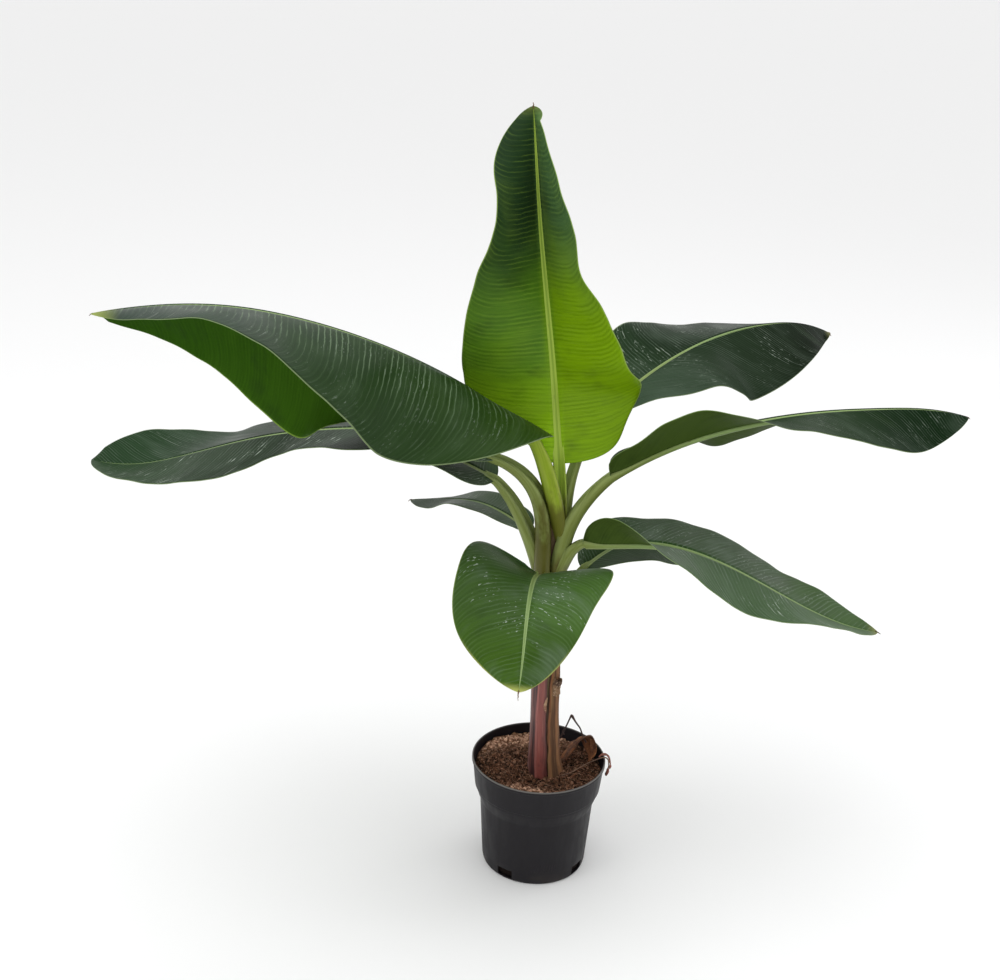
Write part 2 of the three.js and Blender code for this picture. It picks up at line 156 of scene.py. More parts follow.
def axes(rise, head, roll_angle):
    """Forward, the upper side's normal and the right-hand side."""
    r, h, w = math.radians(rise), math.radians(head), math.radians(roll_angle)
    forward = Vector((math.cos(r) * math.cos(h), math.cos(r) * math.sin(h), math.sin(r)))
    level = Vector((-math.sin(r) * math.cos(h), -math.sin(r) * math.sin(h), math.cos(r)))
    side = forward.cross(level)
    normal = level * math.cos(w) + side * math.sin(w)
    return forward, normal, forward.cross(normal)


STEPS = 360


def walk(start, limb):
    """Frames (point, normal, right) at STEPS + 1 places along a limb, in metres."""
    point = Vector(start)
    step = limb["length"] * MM / STEPS
    frames = []
    for i in range(STEPS + 1):
        t = i / STEPS
        forward, normal, side = axes(ramp(limb["rise"], t), ramp(limb["head"], t), limb.get("roll", 0))
        frames.append((point.copy(), normal, side))
        mid = t + 0.5 / STEPS
        point = point + axes(ramp(limb["rise"], mid), ramp(limb["head"], mid), 0)[0] * step
    return frames


def frame_at(frames, t):
    x = min(max(t, 0), 1) * (len(frames) - 1)
    i = min(int(x), len(frames) - 2)
    f = x - i
    return [a.lerp(b, f) for a, b in zip(frames[i], frames[i + 1])]


print("a quarter turn walks", walk((0, 0, 0), {"length": 100, "rise": [0, 90], "head": 0})[-1][0])

# %% [markdown]
# ## The sizes of the ten leaves
#
# Newest first. Millimetres and degrees: rise above level, heading 0 = right, 90 = back,
# 180 = left, 270 = towards the camera. Each half blade folds up from the rib by its own angle and
# curls on towards its margin; "right" is the half on the right hand of someone who walks to the
# tip. A banana leaf is symmetrical when it unrolls and then every one settles in its own way, so
# the sizes are set leaf by leaf and not drawn at random.

# %% Leaf sizes
LEAVES = {
    "top": {
        "root": (9.5, 0, 588.4),
        "stalk": {"length": 88.6, "rise": [88, 85], "head": 180, "roll": -90, "radius": [12, 9]},
        "blade": {"length": 508, "rise": [83.8, 83.2, 81.7, 82, 83.8, 83.8], "head": 180, "roll": -90,
                  "widest": 0.32, "taper": (2.6, 0.7)},
        "left": {"width": 128, "swell": [0.45, 0.65, 1, 1, 1, 1, 1, 1, 1, 1, 1],
                 "fold": [20, -6, -8, 2, 18, 30, 41, 54, 53, 30, 20]},
        "right": {"width": 128, "swell": [1.4, 1.04, 1.02, 1, 1.01, 1.01, 0.87, 1.05, 1.06, 0.9, 0.9],
                  "fold": [10, 2, 3, 34, 46, 56, 63, 67, 71, 72, 71]}},
    "big_left": {
        "root": (14.8, -2.9, 562.4),
        "stalk": {"length": 168, "rise": [78, 76, 70, 58], "head": [192, 198],
                  "radius": [15, 16, 15, 11]},
        "blade": {"length": 663, "rise": [45, 35, 28, 21, 12.5, 0, -10], "head": [214, 203, 196, 193],
                  "widest": 0.42, "taper": (2, 0.8)},
        "left": {"width": 165, "fold": [20, 14, -2, -16, -22, -11, -2, 6, 12, 8, 0],
                 "curl": [-10, -34, -52, -62, -50, -40, -32, -20, -14, -14, -14]},
        "right": {"width": 178, "fold": [-38, -32, -31, -36, -48, -66, -58, -48, -43, -38, -40],
                  "curl": [-10, -16, -20, -20, -16, -16, -20, -20, -16, -14, -10]}},
    "right_back": {
        "root": (14.4, 12.5, 523.1),
        "stalk": {"length": 234, "rise": [86, 86, 66, 42], "head": 38, "radius": [11.5, 10.5, 8.5, 6.5]},
        "blade": {"length": 466, "rise": [36, 26, 16, 5, -6, -26], "head": [36, 34, 32, 30],
                  "widest": 0.5, "blunt": 2.4, "taper": (2.2, 0.85)},
        "left": {"width": 112, "fold": [25, 24, 22, 19, 5, -5, -10, -13, -22, -30, -30]},
        "right": {"width": 112, "fold": [14, 10, -2, -8, -26, -50, -54, -52, -46, -40, -40]}},
    "low_left": {
        "root": (-8.2, -7.8, 501.6),
        "stalk": {"length": 214, "rise": [88, 88, 74, 46, 16], "head": 178,
                  "radius": [17, 17, 15, 12, 9]},
        "blade": {"length": 628, "rise": [17, 9, -5, -12, -19, -15, 10], "head": [172, 173, 174, 175],
                  "widest": 0.5, "taper": (3, 0.65)},
        "left": {"width": 115, "swell": [0.6, 0.5, 0.6, 1, 0.7, 0.6, 0.95, 1, 1, 1, 1],
                 "fold": [-10, -8, 0, 2, 0, -9, -8, -6, -2, 4, 4]},
        "right": {"width": 112, "fold": [0, -10, -5, -6, -6, -6, -5, -5, 8, 26, 36]}},
    "mid_right": {
        "root": (6.8, -5, 492.6),
        "stalk": {"length": 190, "rise": [84, 78, 58, 42], "head": 0, "radius": [16, 15, 13, 10]},
        "blade": {"length": 528, "rise": [37, 27, 18, 12, 6, 2, -14], "head": 0, "widest": 0.45,
                  "taper": (2.4, 0.7)},
        "left": {"width": 92, "fold": [40, 0, -12, -33, -32, -26, -28, -30, -35, -40, -40]},
        "right": {"width": 92, "swell": [1, 1, 1, 1, 1.15, 1.3],
                  "fold": [60, 42, 45, 41, 24, 8, -2, -14, -30, -50, -50]}},
    "back": {
        "root": (-6.5, 5.6, 473),
        "stalk": {"length": 190, "rise": [78, 72, 66, 58, 42], "head": [178, 172],
                  "radius": [14, 14, 13, 11, 8]},
        "blade": {"length": 400, "rise": [26, 10, 0, -8, -14, -16], "head": [164, 150, 142, 138],
                  "widest": 0.42, "taper": (1.8, 0.8)},
        "left": {"width": 95, "fold": [-10, 10, 11, 6, 5, 0, -6]},
        "right": {"width": 95, "fold": [10, -8, -8, 0]}},
    "low_right": {
        "root": (-3.2, -4.4, 475.9),
        "stalk": {"length": 100, "rise": [66, 66, 62, 26], "head": [345, 350],
                  "radius": [14, 13.5, 12, 8.5]},
        "blade": {"length": 460, "rise": [6, 6, -12, -23, -26, -20, -4], "head": [350, 352, 354, 356],
                  "widest": 0.42, "taper": (2.2, 0.7), "stout": 1.25},
        "left": {"width": 98, "fold": [30, 6, 2, 2, 0, 10, 5]},
        "right": {"width": 98, "fold": [75, 50, 16, 2, -8, -6, 8, 14, 10]}},
    "low_back": {
        "root": (14.6, 12.7, 407.5),
        "stalk": {"length": 99, "rise": [80, 62, 38], "head": 38, "radius": [12, 9.5, 7]},
        "blade": {"length": 320, "rise": [30, 10, -8, -24, -30], "head": [36, 32], "widest": 0.42,
                  "taper": (1.8, 0.8)},
        "left": {"width": 60, "fold": [20, 10, 0, 0, 0]},
        "right": {"width": 66, "fold": [10, -6, -32, -40, -40]}},
    "small_left": {
        "root": (-8, 14, 445),
        "stalk": {"length": 118, "rise": [88, 84, 68, 40], "head": 140, "radius": [11, 10, 8, 5]},
        "blade": {"length": 250, "rise": [18, 8, -10, -18, -14], "head": [140, 142], "widest": 0.42,
                  "taper": (1.8, 0.8)},
        "left": {"width": 54, "fold": [12, 13, 8, -6, -2]},
        "right": {"width": 54, "fold": [10, -4, 0, -6, -14]}},
    "front": {
        "root": (-10, -17, 434),
        "stalk": {"length": 103, "rise": [87, 76, 58, 40], "head": [265, 262], "radius": [12, 11, 9, 7]},
        "blade": {"length": 240, "rise": [28, 8, -20, -42, -56, -58], "head": [256, 262, 265, 260],
                  "widest": 0.42, "blunt": 2.6, "taper": (2.2, 0.7)},
        "left": {"width": 108, "swell": [1.3, 1.08, 0.84, 0.74, 0.7], "fold": [14, 7, 0, 0]},
        "right": {"width": 108, "swell": [0.9, 1, 1, 1, 0.95], "fold": [4, 18, 4, 0],
                  "curl": [40, 12, 0, 0]}},
}

PATHS = {}
for name, leaf in LEAVES.items():
    stalk_path = walk(Vector(leaf["root"]) * MM, leaf["stalk"])
    PATHS[name] = (stalk_path, walk(stalk_path[-1][0], leaf["blade"]))
    print(f"{name:11s} tip at", [round(v, 3) for v in PATHS[name][1][-1][0]])

# %% [markdown]
# ## Making finishes out of nodes
#
# A leaf's colour follows the leaf and not the room, so its patterns are read from two UV maps that
# are laid on the blade while it is grown. "place" runs across and along the blade from 0 to 1.
# "vein" is in metres: its first number stays the same all along one side vein, so a pattern that
# is fine in that number and slow in the other draws veins. A painted picture for each leaf is the
# usual way, but nodes need no files and stay sharp from near by. A few short helpers keep the node
# trees readable.

# %% Node helpers
class Finish:
    """A material under construction, with one Principled shader."""

    def __init__(self, name, rough=0.5, specular=0.5):
        self.material = bpy.data.materials.new(name)
        self.material.use_nodes = True
        self.tree = self.material.node_tree
        self.shader = self.tree.nodes["Principled BSDF"]
        self.shader.inputs["Roughness"].default_value = rough
        self.shader.inputs["Specular IOR Level"].default_value = specular

    def add(self, kind, inputs=None, out=0, **settings):
        """A new node with its settings and inputs; gives back one of its outputs."""
        made = self.tree.nodes.new(kind)
        for key, value in settings.items():
            setattr(made, key, value)
        for key, value in (inputs or {}).items():
            self.feed(made.inputs[key], value)
        return made.outputs[out]

    def feed(self, socket, value):
        if isinstance(value, bpy.types.NodeSocket):
            self.tree.links.new(value, socket)
        elif isinstance(value, tuple) and len(value) == 3 and socket.type == "RGBA":
            socket.default_value = (*value, 1)
        else:
            socket.default_value = value

    def uv(self, name, scale=(1, 1, 1)):
        source = self.add("ShaderNodeUVMap", uv_map=name)
        return self.add("ShaderNodeMapping", {"Vector": source, "Scale": scale})

    def spot(self, scale=(1, 1, 1)):
        source = self.add("ShaderNodeTexCoord", out="Object")
        return self.add("ShaderNodeMapping", {"Vector": source, "Scale": scale})

    def part(self, vector, which):
        return self.add("ShaderNodeSeparateXYZ", {0: vector}, out=which)

    def maths(self, kind, a, b=0.0):
        return self.add("ShaderNodeMath", {0: a, 1: b}, operation=kind)

    def times(self, a, b):
        return self.maths("MULTIPLY", a, b)

    def plus(self, a, b):
        return self.maths("ADD", a, b)

    def minus(self, a, b):
        return self.maths("SUBTRACT", a, b)

    def step(self, value, low, high, to_low=0.0, to_high=1.0):
        """A soft step from to_low to to_high while value goes from low to high."""
        return self.add("ShaderNodeMapRange", {0: value, 1: low, 2: high, 3: to_low, 4: to_high},
                        interpolation_type="SMOOTHSTEP")

    def cloud(self, vector, scale, detail=2.0, rough=0.5):
        return self.add("ShaderNodeTexNoise",
                        {"Vector": vector, "Scale": scale, "Detail": detail, "Roughness": rough})

    def streaks(self, across, along, detail=2.0, rough=0.5):
        """Noise with this many waves a metre across the veins or fibres and along them."""
        return self.cloud(self.uv("vein", (across, along, 1)), 1.0, detail, rough)

    def blend(self, share, a, b, how="MIX"):
        """Colours a and b mixed; 6, 7 and output 2 are the Mix node's colour sockets."""
        return self.add("ShaderNodeMix", {0: share, 6: a, 7: b}, out=2, data_type="RGBA", blend_type=how)

    def colour(self, value):
        self.feed(self.shader.inputs["Base Color"], value)

    def relief(self, height, depth, strength=1.0):
        bump = self.add("ShaderNodeBump", {"Height": height, "Distance": depth, "Strength": strength})
        self.feed(self.shader.inputs["Normal"], bump)

    def roughness(self, value):
        self.feed(self.shader.inputs["Roughness"], value)


print("finish helpers ready")

# %% [markdown]
# ### Leaf skin
#
# The upper side of a banana leaf is dark and satin, with fine parallel side veins that leave the
# rib nearly square and bend to the tip at the margin. Its colour drifts from base to tip and
# differs between the halves, much of it painted light and shade: each half lies at its own angle
# to the light. Hard water and dust leave whitish specks in rows along the veins, and the wax bloom
# shows as grey-blue patches, partly painted sheen. The lower side is plainer and more yellow.

# %% Leaf skin finish
SHADED = (0.66, 0.70, 0.62)
DEEP_GREEN = (0.012, 0.030, 0.006)
WATER_MARK = (0.40, 0.47, 0.39)


def half_tones(f, left, right, across, run, late):
    """Each half's colour runs from its base through its middle to its tip."""
    halves = []
    for low, middle, high in (left, right):
        tone = f.blend(f.step(run, 0.05, 0.45), low, middle)
        halves.append(f.blend(f.step(run, *late), tone, high))
    return f.blend(f.step(across, 0.46, 0.54), *halves)


def water_marks(f, across, wave, specks, drips):
    """Where whitish specks and drips lie in rows along the veins, from 0 to 1."""
    field = f.step(f.cloud(f.uv("vein"), 12.0, 2.0), 0.47, 0.60)
    speck = f.times(f.step(f.streaks(420, 170, 1.0), 0.60, 0.68), specks)
    speck = f.times(speck, f.step(f.streaks(260, 14, 1.0), 0.52, 0.60))
    drip = f.times(f.step(f.streaks(300, 26, 2.0, 0.6), 0.60, 0.66), f.step(across, 0.47, 0.53, *drips))
    drip = f.times(drip, f.step(wave, 0.55, 0.9, 0.15, 1.0))
    return f.maths("MAXIMUM", f.times(speck, field), f.times(drip, field))


def leaf_skin(name, left, right, grey=(0.16, 0.21, 0.16), bloom_and_sheen=0.35, lines=0.3, specks=0.5,
              drips=(0.5, 0.5), grooves=0.6, spacing=62.0, rough=0.38, shine=0.14,
              edge=(0.24, 0.32, 0.15), tip=(0.26, 0.26, 0.08), tip_from=1.0, faded=0.0,
              late=(0.48, 0.92), fade_lines=0.7):
    """left and right are the colours of each half near the base, in the middle and at the tip."""
    f = Finish(name, rough, shine)
    place = f.uv("place")
    across, along = f.part(place, 0), f.part(place, 1)
    out = f.times(f.maths("ABSOLUTE", f.minus(across, 0.5)), 2.0)
    drift = f.times(f.minus(f.cloud(f.uv("vein"), 9.0, 2.0), 0.5), 0.35)
    green = half_tones(f, left, right, across, f.plus(along, drift), late)
    # The wax bloom, partly painted sheen in the grey colour, and the darker patches between it.
    patches = f.cloud(f.uv("vein", (1.0, 0.6, 1)), 17.0, 3.0, 0.55)
    green = f.blend(f.step(patches, 0.50, 0.72, 0.0, bloom_and_sheen), green, grey)
    green = f.blend(f.step(patches, 0.46, 0.30, 0.0, 0.35), green, DEEP_GREEN)
    # Grooves along the strongest veins, then finer and finer ones.
    wave = f.add("ShaderNodeTexWave", {"Vector": f.uv("vein"), "Scale": spacing, "Distortion": 1.6,
                                       "Detail": 2.0, "Detail Scale": 1.3, "Detail Roughness": 0.6},
                 out="Fac", wave_type="BANDS", bands_direction="X", wave_profile="SIN")
    veins, fine = f.streaks(330, 7, 2.0, 0.55), f.streaks(950, 12, 2.0, 0.6)
    dark = f.blend(1.0, green, SHADED, "MULTIPLY")
    uneven = f.step(f.streaks(60, 16), 0.35, 0.62)
    green = f.blend(f.times(f.step(wave, 0.55, 0.10, 0.0, grooves), uneven), green, dark)
    green = f.blend(f.step(veins, 0.40, 0.62, 0.0, 0.40), green, dark)
    green = f.blend(f.step(fine, 0.55, 0.70, 0.0, 0.30), green, dark)
    # The crest of each wave catches the sky as a pale line.
    crest = f.times(f.step(wave, 0.84, 0.99), f.step(uneven, 0.3, 0.9, 0.25, 1.0))
    crest = f.times(crest, f.step(out, 0.25, 0.75, 1.0, fade_lines))
    green = f.blend(f.times(crest, lines), green, grey)
    green = f.blend(water_marks(f, across, wave, specks, drips), green, WATER_MARK)
    # The thin pale margin, and the part at the tip that is drying up.
    green = f.blend(f.step(out, 0.985, 0.994, 0.0, 0.75), green, edge)
    ragged = f.plus(along, f.times(drift, 0.15))
    margin = f.times(f.step(out, 0.93, 0.99), f.step(ragged, 0.70, 0.92, 0.0, faded))
    dry = f.maths("MAXIMUM", f.step(ragged, tip_from - 0.04, tip_from + 0.02), margin)
    f.colour(f.blend(dry, green, tip))
    f.relief(f.plus(f.times(veins, 0.9), f.times(fine, 0.4)), 0.0008, 0.55)
    f.roughness(f.step(patches, 0.3, 0.7, rough - 0.06, rough + 0.10))
    return f.material


# %% Colours of the ten leaves
# Painted light and shade are in these colours: a blade is paler where it faces the light and nearly black
# where it lies in shadow, as in the middle of low_left and at the tips of right_back and mid_right. The
# blue-grey towards the tips of big_left and top is painted sheen, and the bright lime base of top is partly
# painted light shining through the young leaf.
SKINS = {
    "top": leaf_skin(
        "new_leaf_upper",
        [(0.285, 0.520, 0.006), (0.092, 0.212, 0.012), (0.022, 0.053, 0.018)],
        [(0.180, 0.330, 0.001), (0.200, 0.365, 0.003), (0.062, 0.132, 0.045)],
        grey=(0.24, 0.37, 0.04), bloom_and_sheen=0.12, lines=0.24, specks=0.0, drips=(0.0, 0.0),
        grooves=0.75, spacing=47.0, rough=0.42, shine=0.12, edge=(0.26, 0.38, 0.08),
        tip=(0.12, 0.15, 0.03), late=(0.40, 0.78)),
    "big_left": leaf_skin(
        "big_leaf_upper",
        [(0.024, 0.056, 0.007), (0.018, 0.044, 0.011), (0.016, 0.035, 0.021)],
        [(0.026, 0.060, 0.008), (0.015, 0.044, 0.012), (0.018, 0.041, 0.029)],
        grey=(0.155, 0.225, 0.130), bloom_and_sheen=0.09, lines=0.62, specks=0.2,
        drips=(0.2, 0.4), grooves=0.35, spacing=38.0, shine=0.10,
        tip=(0.25, 0.31, 0.05), tip_from=0.985, fade_lines=0.12),
    "low_left": leaf_skin(
        "low_leaf_upper",
        [(0.096, 0.148, 0.090), (0.006, 0.018, 0.004), (0.020, 0.049, 0.016)],
        [(0.080, 0.126, 0.072), (0.004, 0.014, 0.003), (0.016, 0.044, 0.015)],
        bloom_and_sheen=0.16, lines=0.34, specks=0.3, drips=(1.0, 0.2), spacing=48.0, shine=0.07,
        fade_lines=1.0, tip_from=1.1),
    "right_back": leaf_skin(
        "back_leaf_upper",
        [(0.024, 0.051, 0.021), (0.010, 0.023, 0.009), (0.002, 0.006, 0.001)],
        [(0.042, 0.075, 0.042), (0.017, 0.033, 0.015), (0.002, 0.007, 0.001)],
        bloom_and_sheen=0.13, lines=0.34, specks=0.55, drips=(0.5, 0.28), spacing=60.0,
        shine=0.04),
    "mid_right": leaf_skin(
        "middle_leaf_upper",
        [(0.034, 0.066, 0.020), (0.012, 0.030, 0.007), (0.004, 0.015, 0.003)],
        [(0.030, 0.062, 0.016), (0.012, 0.032, 0.008), (0.004, 0.017, 0.004)],
        bloom_and_sheen=0.15, lines=0.26, specks=0.30, drips=(0.2, 0.2), spacing=60.0,
        shine=0.05, tip_from=1.1),
    "low_right": leaf_skin(
        "right_leaf_upper",
        [(0.028, 0.066, 0.016), (0.026, 0.064, 0.014), (0.046, 0.104, 0.020)],
        [(0.036, 0.082, 0.022), (0.048, 0.100, 0.034), (0.056, 0.116, 0.036)],
        bloom_and_sheen=0.34, lines=0.45, specks=0.5, drips=(0.3, 1.0), spacing=42.0,
        shine=0.10),
    "front": leaf_skin(
        "front_leaf_upper",
        [(0.060, 0.128, 0.031), (0.063, 0.136, 0.025), (0.029, 0.076, 0.001)],
        [(0.040, 0.092, 0.024), (0.044, 0.098, 0.015), (0.040, 0.098, 0.003)],
        bloom_and_sheen=0.34, lines=0.18, specks=1.0, drips=(0.2, 0.3), spacing=50.0,
        edge=(0.24, 0.33, 0.09), tip=(0.40, 0.43, 0.11), tip_from=0.985, faded=0.8),
    "back": leaf_skin(
        "rear_leaf_upper",
        [(0.031, 0.066, 0.020), (0.026, 0.056, 0.016), (0.018, 0.041, 0.011)],
        [(0.030, 0.063, 0.019), (0.026, 0.055, 0.016), (0.018, 0.041, 0.011)],
        bloom_and_sheen=0.25, lines=0.35, specks=0.50, spacing=60.0, shine=0.07),
}
for name in ("low_back", "small_left"):
    SKINS[name] = SKINS["back"]

# %% Lower sides
def underside(name, low, high, pale, edge=(0.20, 0.32, 0.05)):
    """The plain lower side: no water marks, fainter veins and next to no gloss."""
    halves = [low, low, high]
    # pale is the grey of the bloom patches and vein crests, partly painted sheen.
    return leaf_skin(name, halves, halves, grey=pale, bloom_and_sheen=0.2, lines=0.15, specks=0.0,
                     drips=(0.0, 0.0), grooves=0.35, rough=0.55, shine=0.02, edge=edge,
                     tip_from=1.1)


UNDERSIDE = underside("leaf_underside", (0.030, 0.085, 0.004), (0.021, 0.070, 0.002),
                      (0.05, 0.12, 0.012))
OLIVE_UNDERSIDE = underside("olive_underside", (0.048, 0.082, 0.014), (0.040, 0.074, 0.012),
                            (0.080, 0.125, 0.030))
NEW_UNDERSIDE = underside("new_leaf_underside", (0.16, 0.31, 0.006), (0.05, 0.12, 0.012),
                          (0.20, 0.33, 0.04), edge=(0.26, 0.38, 0.08))
UNDERSIDES = {"top": NEW_UNDERSIDE, "mid_right": OLIVE_UNDERSIDE, "low_right": OLIVE_UNDERSIDE}
print("leaf skins", len({*SKINS.values(), UNDERSIDE, *UNDERSIDES.values()}))

# %% [markdown]
# ### From a flat grid to a piece
#
# Nearly all of the plant is made of skins, so nearly every piece starts as a flat grid whose
# vertices are then moved one by one. Such a form could also be drawn by hand with curves and
# subdivision, but a rule gives the same shape on every run and lays its own UV maps as it goes.
# A skin that should be a closed body is closed by merging its seams and filling its ends.

# %% Sheets and pieces
def sheet(columns, rows, spot, maps=("place", "vein")):
    """A grid; spot(across, along), each 0 to 1, gives a vertex's place and its value in each map."""
    shape = bmesh.new()
    bmesh.ops.create_grid(shape, x_segments=columns, y_segments=rows, size=1.0)
    layers = [shape.loops.layers.uv.new(name) for name in maps]
    values = {}
    for v in shape.verts:
        v.co, values[v] = spot((v.co.x + 1) / 2, (v.co.y + 1) / 2)
    for face in shape.faces:
        for loop in face.loops:
            for layer, value in zip(layers, values[loop.vert]):
                loop[layer].uv = value
    return shape


def closed(shape):
    """Seams merged, open ends filled and every face turned outwards."""
    bmesh.ops.remove_doubles(shape, verts=shape.verts, dist=1e-6)
    bmesh.ops.holes_fill(shape, edges=[e for e in shape.edges if e.is_boundary], sides=0)
    bmesh.ops.recalc_face_normals(shape, faces=shape.faces)
    return shape


def thicken(made, thick, offset=-1, far_finish=0):
    """A live Solidify; its far side takes a finish further down the list of finishes."""
    wall = made.modifiers.new("thickness", "SOLIDIFY")
    wall.thickness = thick * MM
    wall.offset = offset
    wall.material_offset = far_finish


def piece(name, shape, finishes, slot, *nodes):
    """Makes the object, smooth and riding on the plant's one body, in place of the named solids."""
    mesh = bpy.data.meshes.new(name)
    shape.to_mesh(mesh)
    shape.free()
    for finish in finishes:
        mesh.materials.append(finish)
    mesh.shade_smooth()
    made = bpy.data.objects.new(name, mesh)
    bpy.context.scene.collection.objects.link(made)
    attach(made, "root")
    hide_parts(*nodes)
    print(f"{name:18s} {len(mesh.polygons)} faces")
    return made


sample = sheet(3, 2, lambda x, y: (Vector((x, y, 0)), ()), ())
print("a sheet of 3 by 2 has", len(sample.faces), "faces and", len(closed(sample).faces), "when closed")
sample.free()

# %% [markdown]
# ## The blades
#
# A blade is a sheet well under a millimetre thick. It starts as a flat grid: one direction of the
# grid is across the leaf, from the left margin over the rib to the right one, and the other runs
# from base to tip. Every vertex is then moved to where the leaf rule puts it. A Solidify modifier
# gives the sheet its thickness and the lower side its own finish. Margins of real leaves are never
# quite straight, so the outer part gets a slow ripple. A coarse cage under a Subdivision Surface
# would be lighter, but it can't hold the sharp turn beside the rib.

# %% Blade rule
BLADE_THICK = 0.8
RIPPLE = 2.2
RIPPLE_LENGTH = 34
NARROW = 26


def outline(t, blade):
    """The half blade's width as a share of its widest place."""
    if t < blade["widest"]:
        blunt = blade.get("blunt", 2)
        return max(0.0, 1 - (1 - t / blade["widest"]) ** blunt) ** (1 / blunt)
    x = (t - blade["widest"]) / (1 - blade["widest"])
    return max(0.0, 1 - x ** blade["taper"][0]) ** blade["taper"][1]


def lateral(slope, bend, d):
    """Travel along and up of a line of length d that leaves at one slope and turns by bend."""
    if abs(bend) < 1e-4:
        return d * math.cos(slope), d * math.sin(slope)
    return (d * (math.sin(slope + bend) - math.sin(slope)) / bend,
            -d * (math.cos(slope + bend) - math.cos(slope)) / bend)


def half_width(leaf, half, t):
    """The half blade's width in millimetres: never less than the stalk it grows out of."""
    base = ramp(leaf["stalk"]["radius"], 1)
    least = 0.8 * base * (1 - t) + 0.7 * t
    return max(least, half["width"] * outline(t, leaf["blade"]) * ramp(half.get("swell", 1), t))


def rib_radius(leaf, t):
    """Half the rib's width along the blade, in millimetres."""
    base = ramp(leaf["stalk"]["radius"], 1) * leaf["blade"].get("stout", 1)
    return 0.92 * base * (1 - t) ** 0.45 + 0.9 - 0.5 * t


def blade_point(leaf, at, s, t):
    """The blade's middle surface at s (-1 left margin, 0 rib, 1 right margin) and t (0 to 1)."""
    point, normal, side = at
    half = leaf["right"] if s >= 0 else leaf["left"]
    sign = 1 if s >= 0 else -1
    u = abs(s)
    rib = rib_radius(leaf, t)
    if u == 0:
        return point - normal * 0.5 * rib * MM
    width = half_width(leaf, half, t)
    ease = min(1, width / NARROW)
    fold = math.radians(ramp(half["fold"], t)) * ease
    curl = math.radians(ramp(half.get("curl", 0), t)) * ease
    out, up = lateral(fold, curl * u, width * u)
    along = t * leaf["blade"]["length"] / RIPPLE_LENGTH
    ripple = RIPPLE * ease * u ** 2.5 * noise.noise(Vector((along, sign * 7.3, 0)))
    lift = fold + curl * u
    root = (1 - u) ** 3
    out += 0.80 * rib * root - ripple * math.sin(lift)
    up += 0.12 * rib * root + ripple * math.cos(lift)
    return point + (side * sign * out + normal * up) * MM


for name, leaf in LEAVES.items():
    t = leaf["blade"]["widest"]
    print(f"{name:11s} is", round(sum(half_width(leaf, leaf[k], t) for k in ("left", "right"))), "mm wide")

# %% Blade growth
# How far the side veins of the left and the right half lean to the tip, as a share of the way across.
# Where a half has settled and stretched, its veins lie more askew or bend back.
LEAN = {"top": (0.04, 0.04), "big_left": (0.1, -0.36), "low_left": (0.30, 1.3), "low_right": (0.5, 0.40),
        "front": (0.34, 0.34), "right_back": (0.0, 1.1), "mid_right": (0.3, 0.8)}
USUAL_LEAN = (0.28, 0.28)
MARGIN_SWEEP = 0.20


def grow_blade(name, across, rows):
    """One blade; across is the number of columns from the rib to a margin."""
    leaf, path = LEAVES[name], PATHS[name][1]
    length = leaf["blade"]["length"] * MM
    leans = LEAN.get(name, USUAL_LEAN)

    def spot(x, y):
        column = round((2 * x - 1) * across)
        t = 0.35 * y + 0.65 * (1 - math.cos(math.pi * y)) / 2
        u = max(0.001, (abs(column) - 1) / (across - 1)) if column else 0
        s = math.copysign(u, column)
        width = half_width(leaf, leaf["right"] if s >= 0 else leaf["left"], t) * MM
        lean = leans[s >= 0] * (u if leans[s >= 0] < 0 else 1)
        run = length * t - lean * width * u - MARGIN_SWEEP * width * u ** 5
        maps = ((0.5 + 0.5 * s, t), (run, math.copysign(width * u, s)))
        return blade_point(leaf, frame_at(path, t), s, t), maps

    made = piece("leaf_" + name + "_blade", sheet(2 * across, rows, spot),
                 [SKINS[name], UNDERSIDES.get(name, UNDERSIDE)],
                 "leaf_new" if name == "top" else "leaf_green", "leaf_" + name)
    thicken(made, BLADE_THICK, 0, 1)


for name in LEAVES:
    small = LEAVES[name]["blade"]["length"] < 300
    grow_blade(name, 18 if small else 24, 110 if small else 200)

# %% [markdown]
# ## Stalks and ribs
#
# A leaf stalk is a gutter: round below and hollow above, so that rain runs down it into the heart
# of the plant. The same gutter goes on along the blade as its rib and gets ever thinner to the
# tip, sunken on the upper side and proud on the lower one. A bevelled curve keeps one section, so
# stalk and rib are one long sheet bent round to a section that changes all the way. The solids
# stop the stalk short of the stem; here it runs on into the stem, where the leaf bases wrap
# round each other.

# %% [markdown]
# ### Stalk green
#
# A stalk is pale and juicy in its gutter, which faces up, and darker along its back, which faces
# down: partly its own colour and partly painted light and shade. It is streaked with fibres and
# stained brown at its foot. One finish does for the stalk and for the rib: a third UV map, "share",
# goes from 0 on the stalk to 1 on the blade and mixes the two sets of colours, so that no seam
# shows where one turns into the other. Two materials would have left a hard edge there.

